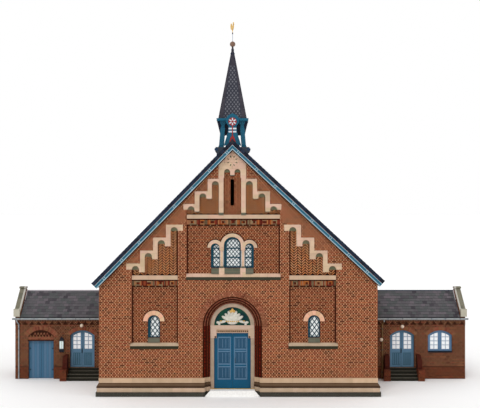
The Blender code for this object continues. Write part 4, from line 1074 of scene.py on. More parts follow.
# The lintel's face and back, half its width, and half the width of the door under it
lintel = {"face": 0.50, "back": 0.52, "half": 1.335, "door": 0.958, "teeth": 16, "teethHalf": 0.955}


def buildLintel():
    mesh, teeth = startPieces(2)
    face, back, half, door = [lintel[word] for word in ("face", "back", "half", "door")]
    addBlock(mesh, (-half, face - 0.035, 4.10), (half, back, 4.20))
    addBlock(mesh, (-half, face - 0.015, 3.95), (half, back, 4.10))
    # shaped corbels beside the head of the door
    corbel = [(half, 3.42), (half, 3.95), (0.97, 3.95), (0.97, 3.62), *arc(1.11, 3.56, 0.13, 180, 270, 6), (1.11, 3.42)]
    for side in (-1, 1):
        addShape(mesh, mirrored(side, corbel), face - 0.03, back)
    pitch = 2 * lintel["teethHalf"] / lintel["teeth"]
    for number in range(lintel["teeth"]):
        x = -lintel["teethHalf"] + pitch * number
        addBlock(teeth, (x + 0.005, face - 0.05, 3.79), (x + pitch / 2, back, 3.885))
    addBlock(mesh, (-door, face - 0.04, 3.745), (door, back, 3.785))
    addBlock(teeth, (-door, face - 0.02, 3.885), (door, back, 3.945))
    finishPiece(mesh, "door_lintel", "lintel_stone", bevel=0.01)
    shade = startPiece()
    addBlock(shade, (-door, face - 0.012, 3.785), (door, back, 3.90))
    for x in (-1.03, 1.03):
        addRod(shade, (x, face - 0.034, 3.50), (x, back, 3.50), 0.055, 12)
    finishPiece(shade, "door_lintel_shadow", "dark_edge_brick")
    finishPiece(teeth, "door_dentils", "dentil_stone", bevel=0.005)


def buildTympanum():
    # generic relief: a fan of leaves over a scroll, with a gilded bud
    white, gilded = startPieces(2)
    z, ground = nave["springing"], 0.555
    for number in range(7):
        angle = radians(30 + 20 * number)
        reach = 0.42 if number % 2 else 0.46
        spot = (reach * cos(angle), ground - 0.004, z + 0.20 + reach * 0.92 * sin(angle))
        addBall(white, spot, 0.29, (1.0, 0.16, 0.36), -angle)
    addBall(white, (0, ground, z + 0.24), 0.34, (1.0, 0.14, 0.62), parts=20)
    for side in (-1, 1):
        addBall(white, (side * 0.62, ground, z + 0.20), 0.27, (1.0, 0.15, 0.30), side * 0.22)
        addBall(white, (side * 0.88, ground, z + 0.17), 0.10, (1.0, 0.3, 0.8), parts=14)
        addBall(white, (side * 0.80, ground, z + 0.05), 0.075, (1.0, 0.3, 1.2), parts=14)
        addBall(gilded, (side * 0.70, ground - 0.035, z + 0.26), 0.055, (1.4, 0.4, 0.6), parts=12)
    for number in range(7):
        spot = (-0.36 + 0.12 * number, ground - 0.065, z + 0.235)
        addBall(gilded, spot, 0.042, (1.0, 0.45, 1.0), parts=12)
    addBall(gilded, (0, ground - 0.03, z + 0.90), 0.10, (0.9, 0.4, 1.25))
    for side in (-1, 1):
        spot = (side * 0.11, ground - 0.02, z + 0.83)
        addBall(gilded, spot, 0.075, (0.7, 0.35, 1.3), side * 0.5, 12)
    finishPiece(white, "tympanum_leaves", "relief_cream", smooth=True)
    finishPiece(gilded, "tympanum_gilding", "ornament_gold", smooth=True)


print("portal")
buildPortalRings()
buildPortalBases()
buildLintel()
buildTympanum()


# Panels of a leaf by their foot and head, and where its ribs stand across a panel
mainLeaf = {
    "across": (0.09, 0.90), "rows": ((2.70, 3.49), (1.80, 2.64), (0.90, 1.71)), "frame": 0.055, "front": 0.645,
    "ribs": {-1: (0.38, 0.62, 0.86), 1: (0.14, 0.38, 0.62, 0.86)}, "handle": (0.17, 2.14),
}


def buildMainLeaves():
    # framed panels with upright ribs on both leaves, and a plainer back
    front, stile, rows = mainLeaf["front"], mainLeaf["frame"], mainLeaf["rows"]
    top, foot, rail = rows[0][1], rows[-1][0], stile * 1.3
    face, rear = front + 0.002, (front + 0.058, front + 0.075)
    for side, word in ((-1, "left"), (1, "right")):
        frames, ribs = startPieces(2)
        body = f"main_door_{word}_leaf"
        low, high = span(side, *mainLeaf["across"])
        for x in (low, high - stile):
            addBlock(frames, (x, front - 0.03, foot), (x + stile, face, top))
        for bottom, head in rows:
            for z in (bottom, head - rail):
                addBlock(frames, (low, front - 0.028, z), (high, face, z + rail))
            addBlock(ribs, (low + stile, front - 0.008, bottom + 0.05), (high - stile, face, head - 0.05))
            for share in mainLeaf["ribs"][side]:
                x = low + (high - low) * share
                addBlock(frames, (x - 0.016, front - 0.022, bottom + 0.13), (x + 0.016, face, head - 0.13))
            addBlock(frames, (low + 0.06, rear[0], bottom), (high - 0.06, rear[1], bottom + 0.08))
        addBlock(frames, (low + 0.06, rear[0], top - 0.08), (high - 0.06, rear[1], top))
        finishPiece(frames, f"main_door_{word}_frames", "frame_blue", body, bevel=0.005)
        finishPiece(ribs, f"main_door_{word}_panels", "panel_blue", body)
    handle = startPiece()
    x, z = mainLeaf["handle"]
    addRod(handle, (x, 0.60, z), (x, front, z), 0.014)
    addRod(handle, (x, 0.603, z), (x, 0.603, z - 0.16), 0.015)
    addBlock(handle, (x - 0.035, 0.632, z - 0.24), (x + 0.035, front, z + 0.08))
    finishPiece(handle, "main_door_handle", "black_iron", "main_door_right_leaf", bevel=0.004)
    cheeks = startPiece()
    for side in (-1, 1):
        addShape(cheeks, mirrored(side, ((1.342, 0.001), (1.655, 0.001), (1.342, 0.345))), -0.12, -0.002)
    finishPiece(cheeks, "step_cheeks", "pale_step_stone", bevel=0.01)
    strip = startPiece()
    addBlock(strip, (-1.335, 0.48, 0.351), (1.335, 0.60, 0.375))
    finishPiece(strip, "threshold_strip", "gold_leaf")


print("main doors")
buildMainLeaves()


roofing = {
    "slate": (0.30, 0.262), "wingSlate": (0.288, 0.26), "overlap": 0.035, "thickness": 0.018, "roll": 0.07,
}


def slopePlace(origin, down, across):
    # a local frame on a roof: x runs down the slope, y along the building, z out of the slates
    down, across = Vector(down).normalized(), Vector(across).normalized()
    out = down.cross(across)
    if out.z < 0:
        out.negate()
    matrix = Matrix((down, across, out)).transposed().to_4x4()
    matrix.translation = origin
    return matrix


# The side, name and local frame of each slope of the nave, its pitch and how far out its eaves are
naveSlopes = [
    (side, word, slopePlace((0, 0, ridge), (side, 0, -pitch), (0, 1, 0)), pitch, eave)
    for side, word, pitch, eave in ((-1, "left", nave["leftPitch"], 8.40), (1, "right", nave["rightPitch"], 9.10))
]


def slateSlope(mesh, place, first, last, start, end, size):
    # courses of separate slates, each lying on the course below with its tail lifted
    rows, count = round((last - first) / size[1]), round((end - start) / size[0])
    exposure, width = (last - first) / rows, (end - start) / count
    lift = Matrix.Rotation(-atan(roofing["thickness"] / exposure), 4, "Y")
    for row in range(rows):
        part = startPiece()
        head = place @ Matrix.Translation((first + exposure * row, 0, 0.002)) @ lift
        shift = width / 2 if row % 2 else 0.0
        corner = -roofing["overlap"] if row else 0.0
        for number in range(count + row % 2):
            low = max(start + width * number - shift, start) + 0.003
            high = min(start + width * (number + 1) - shift, end) - 0.003
            addBlock(part, (corner, low, 0), (exposure, high, roofing["thickness"]), head)
        pourInto(mesh, part)


def buildNaveSlates():
    length, height, radius = nave["length"], ridge + 0.005, roofing["roll"]
    for _, word, place, pitch, eave in naveSlopes:
        mesh = startPiece()
        slope = eave * sqrt(1 + pitch * pitch)
        slateSlope(mesh, place, 0.02, slope + 0.02, -0.31, length + 0.31, roofing["slate"])
        finishPiece(mesh, f"nave_slates_{word}", "nave_slate")
    roll = startPiece()
    for start, end in ((-0.345, 1.235), (3.165, length + 0.345)):
        addRod(roll, (0, start, height), (0, end, height), radius, 12)
        for number in range(int((end - start) / 1.2)):
            y = start + 1.2 * number + 0.6
            addRod(roll, (0, y, height), (0, y + 0.05, height), radius + 0.008, 12)
    finishPiece(roll, "nave_ridge_roll", "ridge_dark")


# Depths under the slates, square to the slope
verge = {
    "slates": (-0.022, 0.165), "dashes": (0.168, 0.20), "outer": (0.20, 0.226), "board": (0.226, 0.36),
    "inner": (0.36, 0.406), "wall": (0.412, 0.455), "tickPitch": 1.5, "tickGap": 0.13, "tick": 0.035,
}


def vergeStrip(mesh, place, pitch, length, layer, depths):
    # a board under the slates' edge, mitred to its neighbour where the slopes meet
    high, low = verge[layer]
    outline = [(pitch * high, -high), (length, -high), (length, -low), (pitch * low, -low)]
    addShape(mesh, outline, *depths, place=place)


def buildVerges():
    slates, boards, pale, dashes, strips = startPieces(5)
    for face, outward in ((-0.300, -1), (nave["length"] + 0.300, 1)):
        def addLayer(mesh, place, first, last, layer, proud, tint=None, face=face, outward=outward):
            # one block of a layer under the slates, between two distances down the slope
            low, high = span(outward, 0, proud, face)
            above, below = verge[layer]
            addBlock(mesh, (first, low, -below), (last, high, -above), place, tint)

        for _, _, place, pitch, eave in naveSlopes:
            length = eave * sqrt(1 + pitch * pitch)
            vergeStrip(boards, place, pitch, length, "board", span(outward, 0, 0.018, face))
            vergeStrip(pale, place, pitch, length, "outer", span(outward, 0, 0.028, face))
            vergeStrip(pale, place, pitch, length, "inner", span(outward, 0, 0.032, face))
            for number in range(int(length / verge["tickPitch"])):
                along = verge["tickPitch"] * (number + 0.45)
                for start in (along, along + verge["tickGap"]):
                    addLayer(pale, place, start, start + verge["tick"], "board", 0.027)
            count = round(length / roofing["slate"][1])
            share = length / count
            for number in range(count):
                start = max(share * number, 0.17 * pitch if number < 2 else 0)
                tail = Matrix.Translation((start, 0, 0)) @ Matrix.Rotation(-0.05, 4, "Y")
                end = share * (number + 1) - start - 0.012
                if end > 0.03:
                    addLayer(slates, place @ tail, 0, end, "slates", 0.04)
                # dashes under the slates' edge: the black ones are painted shadow in the gap, the red ones the ends of
                # the battens
                along = max(share * number, 0.2 * pitch)
                addLayer(dashes, place, along, along + share * 0.5, "dashes", 0.012, 0.9)
                addLayer(dashes, place, along + share * 0.5, along + share, "dashes", 0.012, 0.1)
            # a dark strip on the wall under each verge: painted shadow of the overhang
            wall = -0.001 if outward < 0 else nave["length"] + 0.001
            vergeStrip(strips, place, pitch, length - 0.42 * pitch, "wall", span(outward, 0, 0.04, wall))
    finishPiece(slates, "verge_slates", "verge_slate", bevel=0.004)
    finishPiece(boards, "verge_boards", "verge_teal", bevel=0.004)
    finishPiece(pale, "verge_fillets", "verge_pale", bevel=0.004)
    finishPiece(dashes, "verge_dashes", "verge_dash")
    finishPiece(strips, "verge_shadow_strips", "dark_edge_brick")


print("nave roof")
buildNaveSlates()
buildVerges()


# The turret's middle and sizes, then low, high and reach of each moulding of its posts, shoes and cornice
turret = {
    "y": 2.2, "corniceHalf": 0.967, "corniceTop": 16.80, "spireHalf": 0.868, "spireTop": 21.17,
    "boxFoot": 15.84, "boxHead": 16.645, "boxRows": 7,
    "posts": (
        (15.032, 15.10, 0.165), (15.10, 15.15, 0.145), (16.24, 16.30, 0.125), (16.38, 16.45, 0.13),
        (16.45, 16.54, 0.165), (16.54, 16.644, 0.205),
    ),
    "shoes": ((14.80, 14.86, 1.075), (14.86, 14.94, 1.105), (14.94, 14.98, 1.07)),
    "cornice": ((16.655, 16.69, 0.971), (16.75, 16.797, 0.981)),
    "bands": ((20.86, 20.92, 0.135), (21.10, 21.165, 0.09)),
}


def addBoxBoard(mesh, low, high):
    # one course of the box's boards all round, wider towards the top, with its lower edge proud
    foot, head = turret["boxFoot"], turret["boxHead"]
    made = bmesh.ops.create_cube(mesh, size=2.0)["verts"]
    for vert in made:
        z, extra = (high, 0.006) if vert.co.z > 0 else (low, 0.022)
        share = (z - foot) / (head + 0.02 - foot)
        reach = (0.743 + 0.197 * share + extra, 0.45 + 0.10 * share + extra)
        vert.co = (vert.co.x * reach[0], vert.co.y * reach[1] + turret["y"], z)
    giveTint(mesh, made)


def buildBelfry():
    boards, trims, shoes = startPieces(3)
    foot, rise, middle = turret["boxFoot"] - 0.01, turret["boxHead"] - turret["boxFoot"], turret["y"]
    for row in range(turret["boxRows"]):
        low, high = [foot + rise * (row + part) / turret["boxRows"] for part in (0, 1)]
        addBoxBoard(boards, low, high - 0.006)
    for side in (-1, 1):
        # mouldings of the shoes that the posts stand on
        for low, high, reach in turret["shoes"]:
            addBeside(shoes, side, (0.90, reach), (middle - 0.975, middle + 0.975), (low, high - 0.001))
    finishPiece(shoes, "turret_shoe_mouldings", "shoe_blue", bevel=0.01)
    finishPiece(boards, "belfry_boards", "turret_dark")
    for sideX in (-1, 1):
        for sideY in (-1, 1):
            for low, high, reach in turret["posts"]:
                lean = 0.70 - 0.14 * (low - 15.03) / 1.63
                x, y = sideX * lean, middle + sideY * lean
                addBlock(trims, (x - reach, y - reach, low), (x + reach, y + reach, high - 0.002))
            casing = bmesh.ops.create_cube(trims, size=0.275)["verts"]
            for vert in casing:
                # boards round the post follow its lean
                lean, z = (0.596, 16.24) if vert.co.z > 0 else (0.69, 15.15)
                vert.co = (sideX * lean + vert.co.x, middle + sideY * lean + vert.co.y, z)
            giveTint(trims, casing)
    half = turret["corniceHalf"] - 0.02
    for low, high, reach in turret["cornice"]:
        for side in (-1, 1):
            inner, outer = span(side, half, reach)
            addBlock(trims, (inner, middle - reach, low), (outer, middle + reach, high))
            addBlock(trims, (-half, middle + inner, low), (half, middle + outer, high))
    finishPiece(trims, "belfry_capitals", "turret_teal", bevel=0.008)


def buildGablet(word, face, outward):
    # a board with a round ornament, two pale slats and a red drop; the rear one is made here as a whole
    teal, red, white = startPieces(3)
    centre = (0, 16.58)

    def depths(proud, sunk=0.0):
        return sorted((face - outward * sunk, face + outward * proud))

    if word == "rear":
        right = [(0.535, 15.20), (0.27, 15.95), (0.249, 16.20), *arc(0, 16.65, 0.404, -52, 50, 10), (0.0, 17.10)]
        outline = right + mirrored(-1, right[-2::-1]) + [(-0.10, 15.47), (0.10, 15.47)]
        addShape(teal, outline, *depths(0.0, 0.07))
    addRing(teal, centre, 0.255, 0.32, depths(0.02), 32)
    leg = [(0.25, 16.2), (0.21, 16.2), (0.23, 15.93), (0.44, 15.26), (0.50, 15.22), (0.275, 15.94)]
    for side in (-1, 1):
        addShape(teal, mirrored(side, leg), *depths(0.016))
    addShape(red, arc(*centre, 0.254, 0, 360, 32)[:-1], *depths(0.006))
    addLeaves(white, centre, 0.145, face + outward * 0.01, 0.095, (1.0, 0.16, 0.42), 12, 6, 30)
    addBall(red, (0, face + outward * 0.012, centre[1]), 0.07, (1, 0.35, 1), parts=14)
    for heights in ((16.105, 16.20), (15.915, 16.01)):
        addBeside(white, 1, (-0.235, 0.235), depths(0.022), heights)
    addBeside(red, 1, (-0.03, 0.03), depths(0.03), (15.72, 16.36))
    drop = [(-0.21, 15.30), (-0.11, 15.62), (0, 15.76), (0.11, 15.62), (0.21, 15.30), (0, 15.49)]
    addShape(red, drop, *depths(0.02))
    finishPiece(teal, f"gablet_{word}_trim", "turret_teal", bevel=0.004)
    finishPiece(red, f"gablet_{word}_red", "ornament_red")
    finishPiece(white, f"gablet_{word}_white", "ornament_white")


def buildSpireTrim():
    mesh, middle = startPiece(), turret["y"]
    reach, cut, small = turret["spireHalf"], turret["spireHalf"] * 0.65, 0.06
    for sideX in (-1, 1):
        for sideY in (-1, 1):
            for x, y in ((reach, cut), (cut, reach)):
                foot = (sideX * x, middle + sideY * y, turret["corniceTop"] + 0.012)
                tip = (sideX * x * small, middle + sideY * y * small, turret["spireTop"] - 0.03)
                addRod(mesh, foot, tip, 0.014, 6)
    for low, high, share in turret["bands"]:
        addTurned(mesh, [(0, low), (share, low), (share, high), (0, high)], (0, middle, 0))
    finishPiece(mesh, "spire_hips", "ridge_dark")


print("turret")
buildBelfry()
buildGablet("front", 1.163, -1)
buildGablet("rear", 3.237, 1)
buildSpireTrim()


# The walls between which each wing's roof lies, the spans of its corbels and courses, and sizes in common
wing = {
    "front": 6.0, "depth": 3.9, "eaves": 4.03, "pitch": 0.757, "thickness": 0.14, "overhang": 0.12,
    "roofs": ((-14.01, -8.00), (8.72, 14.96)), "faces": ((-14.37, -8.19), (8.91, 15.32)),
    "arch": (1.147, 2.053), "doors": (-9.955, 11.165), "window": 13.66, "blind": (-12.675, 2.131),
    "courses": ((-14.375, -13.52), (-11.83, -11.30), (8.905, 9.83), (12.51, 15.325)),
    "corbelPitch": 0.45, "corbels": ((0.40, 0.245), (0.30, 0.19), (0.20, 0.135), (0.10, 0.075)),
}


def buildWingSlates():
    middle = wing["front"] + wing["depth"] / 2
    top = wing["eaves"] + wing["pitch"] * wing["depth"] / 2 + wing["thickness"]
    reach = (wing["depth"] / 2 + wing["overhang"]) * sqrt(1 + wing["pitch"] ** 2)
    slates, rolls = startPieces(2)
    for start, end in wing["roofs"]:
        for side in (-1, 1):
            place = slopePlace((0, middle, top), (0, side, -wing["pitch"]), (1, 0, 0))
            slateSlope(slates, place, 0.01, reach + 0.01, start + 0.004, end - 0.004, roofing["wingSlate"])
        addRod(rolls, (start + 0.01, middle, top), (end - 0.01, middle, top), 0.06, 12)
        # flashing where the slates meet the parapet
        edge, sign = (start, 1) if start < 0 else (end, -1)
        line = [(middle - 2.07, wing["eaves"] - 0.09), (middle, top), (middle + 2.07, wing["eaves"] - 0.09)]
        outline = [(y, z + 0.02) for y, z in line] + [(y, z + 0.085) for y, z in line[::-1]]
        addShape(rolls, outline, *span(sign, 0.001, 0.05, edge), "X", tint=1.0)
    finishPiece(slates, "wing_slates", "slate_tile")
    finishPiece(rolls, "wing_ridge_rolls", "flashing")


def corbelTable(mesh, dark, start, end, top, face=0.0, proud=0.05):
    # inverted steps of brick under the eaves, on the face of a wall; the dark block behind them is painted shade in the
    # gaps
    back = face - 0.001
    addBlock(mesh, (start, face - proud, top), (end, back, top + 0.125))
    addBlock(dark, (start, face - 0.012, top - 0.23), (end, back, top))
    addBlock(mesh, (start, face - 0.02, top - 0.30), (end, back, top - 0.23))
    count = round((end - start) / wing["corbelPitch"])
    pitch = (end - start) / count
    for number in range(count + 1):
        middle, head = start + pitch * number, top
        for width, height in wing["corbels"]:
            foot = top - 0.30 + height
            left, right = max(middle - width / 2, start), min(middle + width / 2, end)
            addBlock(mesh, (left, face - proud, foot), (right, back, head))
            head = foot


def buildWingBrickwork():
    corbels, dark, arches, teeth = startPieces(4)
    front, blind = wing["front"], wing["blind"]
    for start, end in wing["faces"]:
        corbelTable(corbels, dark, start, end, 3.80, front)
    radius, height = wing["arch"]
    depths = (front - 0.014, front + 0.02)
    for x in (*wing["doors"], wing["window"]):
        addVoussoirs(arches, (x, height), radius + 0.006, radius + 0.245, depths, 22, 43, 137, 0.026)
    addVoussoirs(arches, blind, 1.095, 1.335, depths, 24, 37, 143, 0.026)
    addVoussoirs(arches, blind, 1.345, 1.40, (front - 0.024, front + 0.02), 14, 37, 143)
    # a dark plate in the recessed head of the blind arch: painted shade
    plate = [(blind[0] - 0.82, 2.76), (blind[0] + 0.82, 2.76), *arc(*blind, 1.085, 41, 139, 16)]
    addShape(dark, plate, front + 0.08, front + 0.099)
    for count, z in ((8, 2.765), (5, 2.92)):
        for number in range(count):
            x = blind[0] + 0.2 * (number - (count - 1) / 2)
            addShape(teeth, [(x - 0.075, z), (x + 0.075, z), (x, z + 0.14)], front + 0.05, front + 0.09)
    for row in range(2):
        for number in range(8):
            left, foot = -13.505 + 0.2085 * number, 2.60 + 0.072 * row
            addBlock(teeth, (left + 0.004, front - 0.006, foot), (left + 0.204, front, foot + 0.065))
    # a dark band under the lintel bricks: painted shadow
    addBlock(dark, (-13.53, front - 0.012, 2.505), (-11.82, front, 2.585))
    for low, high in wing["courses"]:
        addBlock(dark, (low, front - 0.014, 0.775), (high, front, 0.825))
    finishPiece(corbels, "wing_corbels", "wing_brick")
    finishPiece(dark, "wing_dark_courses", "wing_dark_course")
    finishPiece(arches, "wing_arch_bricks", "wing_arch_brick")
    finishPiece(teeth, "wing_lintel_bricks", "wing_arch_brick")


# Heights and distances from the middle of a pair of leaves, each part as (near, far, foot, head)
glazed = {
    "panes": (0.135, 0.62), "foot": 1.96, "rows": (2.225, 2.49, 2.755), "bar": 0.042, "front": 6.225,
    "back": 6.275, "panel": (0.09, 0.62, 0.88, 1.70), "rails": ((0.755, 0.87), (1.72, 1.93)),
    "stiles": ((0.012, 0.08, 3.14), (0.635, 0.788, 2.78)), "rearRails": ((0.80, 0.92), (1.72, 1.90), (2.70, 2.80)),
}


def paneHead(x):
    # the height of the glass over one distance across: its head is parallel to the arch of the brickwork
    radius, height = wing["arch"][0] - 0.162, wing["arch"][1]
    return height + sqrt(radius * radius - x * x)


def addGlazing(glass, bars, side, centre, front, back):
    # the glass of one leaf or light, and its bars
    inner, outer = glazed["panes"]
    bar, foot, middle = glazed["bar"] / 2, glazed["foot"], (inner + outer) / 2
    head = [outer + (inner - outer) * number / 8 for number in range(9)]
    outline = [(inner, foot), (outer, foot), *[(x, paneHead(x)) for x in head]]
    addShape(glass, mirrored(side, outline, centre), front - 0.004, back)
    addBeside(bars, side, (middle - bar, middle + bar), (front - 0.014, front), (foot, paneHead(middle)), centre)
    for z in glazed["rows"]:
        addBeside(bars, side, (inner, outer), (front - 0.013, front), (z - bar, z + bar), centre)


def buildGlazedLeaf(name, body, side, centre):
    front, face, back = glazed["front"], glazed["front"] + 0.002, glazed["back"]
    glass, bars, rails, panels = startPieces(4)
    addGlazing(glass, bars, side, centre, front, face)
    inner, outer, foot, head = glazed["panel"]
    low, high = span(side, inner, outer, centre)
    addBlock(panels, (low, front - 0.002, foot), (high, face, head))
    for number in range(4):
        x = low + 0.07 + (high - low - 0.14) * number / 3
        addBlock(rails, (x - 0.022, front - 0.012, foot + 0.04), (x + 0.022, front + 0.001, head - 0.04))
    for heights in glazed["rails"]:
        addBeside(rails, side, (0.012, 0.788), (front - 0.016, face), heights, centre)
    for first, last, top in glazed["stiles"]:
        addBeside(rails, side, (first, last), (front - 0.018, face), (0.755, top), centre)
    curve = arc(0, wing["arch"][1], 1.128, 46.5, 89, 10) + arc(0, wing["arch"][1], 1.000, 88, 53, 10)
    addShape(rails, mirrored(side, curve, centre), front - 0.014, face)
    for heights in glazed["rearRails"]:
        addBeside(rails, side, (0.06, 0.70), (back - 0.002, back + 0.012), heights, centre)
    if side < 0:
        handle, x, near = startPiece(), centre - 0.045, front - 0.045
        addRod(handle, (x, near, 1.92), (x, front - 0.012, 1.92), 0.014)
        addRod(handle, (x, near, 1.925), (x, near, 1.74), 0.016)
        addBlock(handle, (centre - 0.078, front - 0.024, 1.68), (centre - 0.018, front - 0.014, 1.98))
        finishPiece(handle, name.replace("_left", "_handle").replace("_handle_wing", "_left_wing"), "black_iron",
                    body, bevel=0.003)
    finishPiece(glass, f"{name}_panes", "pane_glass", body)
    finishPiece(bars, f"{name}_glazing_bars", "bar_blue", body)
    finishPiece(rails, f"{name}_rails", "wing_blue", body, bevel=0.004)
    finishPiece(panels, f"{name}_panels", "wing_blue_dark", body, bevel=0.003)


def buildGlazedDoors():
    for word, centre in zip(("left", "right"), wing["doors"]):
        for side, leaf in ((-1, "left"), (1, "right")):
            name = f"{word}_wing_door_{leaf}"
            buildGlazedLeaf(name, f"{name}_leaf", side, centre)


# Each board's own shade, and how wide a board and the step from one to the next are
plank = {"centre": -12.675, "front": 6.225, "tints": (0.15, 0.9, 0.5, 1.0, 0.3), "step": 0.157, "width": 0.149}


def buildPlankDoor():
    centre, front = plank["centre"], plank["front"]
    for side, word in ((-1, "left"), (1, "right")):
        boards, irons = startPieces(2)
        for number, tint in enumerate(plank["tints"]):
            low = 0.006 + plank["step"] * number
            across = (low, low + plank["width"])
            addBeside(boards, side, across, (front - 0.018, front + 0.002), (0.025, 2.495), centre, tint)
        for z in (0.55, 1.95):
            addBeside(irons, side, (0.70, 0.788), (front - 0.024, front), (z, z + 0.07), centre)
        for heights in ((0.25, 0.40), (2.05, 2.20)):
            addBeside(boards, side, (0.05, 0.72), (6.273, 6.295), heights, centre, 0.4)
        name = f"plank_door_{word}"
        finishPiece(boards, f"{name}_boards", "plank_blue", f"{name}_leaf", bevel=0.005)
        finishPiece(irons, f"{name}_irons", "black_iron", f"{name}_leaf")


def buildWingWindow():
    frames, bars, sills, glass = startPieces(4)
    centre, plate, height = wing["window"], 6.14, wing["arch"][1]
    foot = 1.835
    curve = arc(0, height, 1.141, 46, 90, 10) + arc(0, height, 0.990, 90, 51.5, 10)
    for side in (-1, 1):
        addGlazing(glass, bars, side, centre, plate, plate + 0.002)
        head = height + sqrt(1.14 ** 2 - 0.798 ** 2)
        addBeside(frames, side, (0.63, 0.798), (plate - 0.03, plate), (foot, head), centre)
        addShape(frames, mirrored(side, curve, centre), plate - 0.028, plate - 0.0005)
    addBlock(frames, (centre - 0.125, plate - 0.032, foot), (centre + 0.125, plate, 3.10))
    addBlock(frames, (centre - 0.63, plate - 0.027, foot), (centre + 0.63, plate - 0.001, 1.955))
    left, right = centre - 0.80, centre + 0.80
    addBlock(sills, (left, 5.955, 1.74), (right, 5.999, 1.802))
    addShape(sills, [(5.955, 1.802), (6.139, 1.802), (6.139, 1.832), (5.955, 1.815)], left, right, "X")
    finishPiece(glass, "wing_window_panes", "pane_glass")
    finishPiece(bars, "wing_window_glazing_bars", "bar_blue")
    finishPiece(frames, "wing_window_frame", "wing_window_blue", bevel=0.005)
    finishPiece(sills, "wing_window_sill", "black_iron", bevel=0.004)


lamp = {
    "globes": ((-9.96, 3.53), (11.15, 3.47), (9.76, 2.61)), "radius": 0.115,
    "base": [(0, 0.0), (0.07, 0.0), (0.07, 0.02), (0.045, 0.035), (0.04, 0.06), (0, 0.06)],
    "lantern": (-11.295, 5.90), "cage": (2.005, 2.525), "cap": ((0.055, 2.712, 2.75), (0.028, 2.75, 2.81)),
}


def buildLamps():
    # round lamps on the wing walls, and the iron bars and cap of the wall lantern
    globes, irons = startPieces(2)
    size = lamp["radius"]
    bulge = [(size * sin(radians(turn)), 0.155 - size * cos(radians(turn))) for turn in range(30, 180, 15)]
    for x, z in lamp["globes"]:
        place = Matrix.Translation((x, wing["front"], z)) @ Matrix.Rotation(radians(90), 4, "X")
        globe, base = startPieces(2)
        addTurned(globe, [(0, 0.05), (0.05, 0.052), *bulge, (0, 0.27)], steps=20, place=place)
        pourInto(globes, globe)
        addTurned(base, lamp["base"], place=place)
        pourInto(irons, base)
    x, y = lamp["lantern"]
    low, high = lamp["cage"]
    for across, deep, radius in (
        (-0.142, 5.832, 0.011), (-0.142, 5.985, 0.011), (0.142, 5.832, 0.011), (0.142, 5.985, 0.011),
        (0, 5.832, 0.006),
    ):
        addRod(irons, (x + across, deep, low), (x + across, deep, high), radius, 6)
    for size, low, high in lamp["cap"]:
        addBlock(irons, (x - size, y - size, low), (x + size, y + size, high))
    finishPiece(globes, "globe_lamps", "lamp_beige", smooth=True)
    finishPiece(irons, "lamp_irons", "black_iron")


gutter = {"spans": ((-14.45, -8.05), (8.78, 15.40)), "straps": 7, "pipes": (-14.13, 9.85), "holders": (0.45, 1.9, 3.3)}


def buildGutterJoints():
    # straps at every joint of the gutters, and holders of the downpipes
    mesh = startPiece()
    for start, end in gutter["spans"]:
        for number in range(gutter["straps"]):
            x = start + (end - start) * (number + 0.5) / gutter["straps"]
            addBlock(mesh, (x - 0.02, 5.736, 3.945), (x + 0.02, 5.745, 4.034))
            addBlock(mesh, (x - 0.02, 5.745, 3.902), (x + 0.02, 5.875, 3.912))
    for x in gutter["pipes"]:
        for z in gutter["holders"]:
            addBlock(mesh, (x - 0.06, 5.90, z), (x + 0.06, 5.999, z + 0.035))
    finishPiece(mesh, "gutter_straps", "lead_grey")


print("wings")
buildWingSlates()
buildWingBrickwork()
buildGlazedDoors()
buildPlankDoor()
buildWingWindow()
buildLamps()
buildGutterJoints()


tall = {"half": 0.51, "foot": 3.20, "spring": 5.05, "sideY": (3.2, 12.6, 16.4, 20.2), "rearX": (-4.3, 0.36, 5.0)}


def stampCopies(source, places):
    # copies of one shape, each in its own place
    data = bpy.data.meshes.new("stamp")
    source.to_mesh(data)
    source.free()
    mesh = startPiece()
    for place in places:
        count = len(mesh.verts)
        mesh.from_mesh(data)
        mesh.verts.ensure_lookup_table()
        bmesh.ops.transform(mesh, matrix=place, verts=mesh.verts[count:])
    bpy.data.meshes.remove(data)
    return mesh


# From a window in the plane y = 0 to each wall: y there is the distance in from the wall's face
wallPlaces = {
    -1: Matrix(((0, 1, 0, wallLeft), (1, 0, 0, 0), (0, 0, 1, 0), (0, 0, 0, 1))),
    1: Matrix(((0, -1, 0, wallRight), (1, 0, 0, 0), (0, 0, 1, 0), (0, 0, 0, 1))),
    "rear": Matrix(((1, 0, 0, 0), (0, -1, 0, nave["length"]), (0, 0, 1, 0), (0, 0, 0, 1))),
}


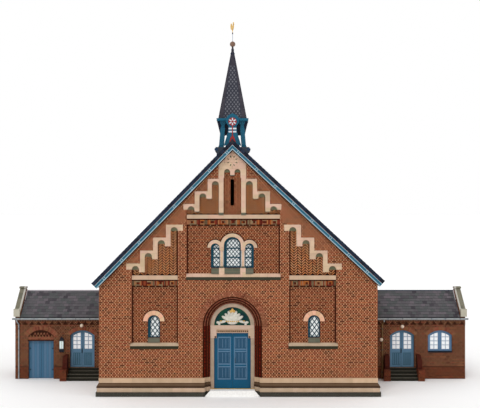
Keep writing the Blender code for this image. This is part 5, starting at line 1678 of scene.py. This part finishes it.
def buildTallWindows():
    # the round-headed windows of the side and rear walls
    places = [wallPlaces[side] @ Matrix.Translation((y, 0, 0)) for side in (-1, 1) for y in tall["sideY"]]
    places += [wallPlaces["rear"] @ Matrix.Translation((x, 0, 0)) for x in tall["rearX"]]
    frames, leads, bars, hoods, sills = startPieces(5)
    half, foot, spring = tall["half"], tall["foot"], tall["spring"]
    addArchFrame(frames, 0, half - 0.002, foot + 0.002, spring, (0.09, 0.09, 0.08, 0.09), (0.40, 0.486))
    addLeading(leads, 0, half - 0.09, foot + 0.08, spring, (0.2733, 0.34), (0.455, 0.48), 0.02)
    for z in (3.85, 4.50, 5.10):
        addBlock(bars, (-half + 0.08, 0.43, z - 0.02), (half - 0.08, 0.485, z + 0.02))
    addVoussoirs(hoods, (0, spring), half + 0.004, half + 0.27, (-0.035, 0.004), 11, steps=3)
    sill = [(-0.06, 3.02), (0.39, 3.02), (0.39, 3.198), (0.0, 3.198), (-0.06, 3.13)]
    addShape(sills, sill, -half + 0.002, half - 0.002, "X")
    for side in (-1, 1):
        ear = [(-0.06, 3.02), (-0.001, 3.02), (-0.001, 3.198), (-0.06, 3.13)]
        addShape(sills, ear, *span(side, half - 0.002, half + 0.09), "X")
    for mesh, word, look, slot in (
        (frames, "frames", "window_teal", "teal_paint"), (leads, "leading", "black_iron", "teal_paint"),
        (bars, "bars", "window_teal", "teal_paint"), (hoods, "hoods", "hood_block", "cream_stone"),
        (sills, "sills", "beam_stone", "cream_stone"),
    ):
        finishPiece(stampCopies(mesh, places), f"tall_window_{word}", look)


def buildEaves():
    # the corbels under the long eaves of the nave
    corbels, dark = startPieces(2)
    for side in (-1, 1):
        local, shade = startPieces(2)
        corbelTable(local, shade, 0.80, 23.5, 6.30)
        for source, target in ((local, corbels), (shade, dark)):
            pourInto(target, stampCopies(source, [wallPlaces[side]]))
    finishPiece(corbels, "eaves_corbels", "field_brick")
    finishPiece(dark, "eaves_shadow_courses", "dark_edge_brick")


print("sides and rear")
buildTallWindows()
buildEaves()


stagePlace = {"size": 900.0, "camera": (0.46, -60.0, 11.54), "lens": 75.0, "world": 1.0, "key": 0.5}


def buildStage():
    floor = bmesh.new()
    bmesh.ops.create_grid(floor, x_segments=8, y_segments=8, size=stagePlace["size"])
    bmesh.ops.translate(floor, vec=(0, 0, -0.002), verts=floor.verts)
    data = bpy.data.meshes.new("stage_floor")
    floor.to_mesh(data)
    floor.free()
    data.materials.append(looks["studio_floor"])
    piece = bpy.data.objects.new("stage_floor", data)
    bpy.context.scene.collection.objects.link(piece)


def setLights():
    world = bpy.data.worlds.new("studio")
    world.use_nodes = True
    background = world.node_tree.nodes["Background"]
    background.inputs["Color"].default_value = (1, 1, 1, 1)
    background.inputs["Strength"].default_value = stagePlace["world"]
    bpy.context.scene.world = world
    key = bpy.data.lights.new("key", "SUN")
    key.energy = stagePlace["key"]
    key.angle = radians(12)
    keyObject = bpy.data.objects.new("key", key)
    keyObject.rotation_euler = (radians(48), 0, radians(-20))
    bpy.context.scene.collection.objects.link(keyObject)


def setCamera():
    camera = bpy.data.cameras.new("camera")
    camera.lens = stagePlace["lens"]
    camera.sensor_width = 36.0
    camera.clip_end = 2000.0
    cameraObject = bpy.data.objects.new("camera", camera)
    cameraObject.location = stagePlace["camera"]
    cameraObject.rotation_euler = (radians(90), 0, 0)
    bpy.context.scene.collection.objects.link(cameraObject)
    bpy.context.scene.camera = cameraObject


print("stage, lights and camera")
buildStage()
setLights()
setCamera()
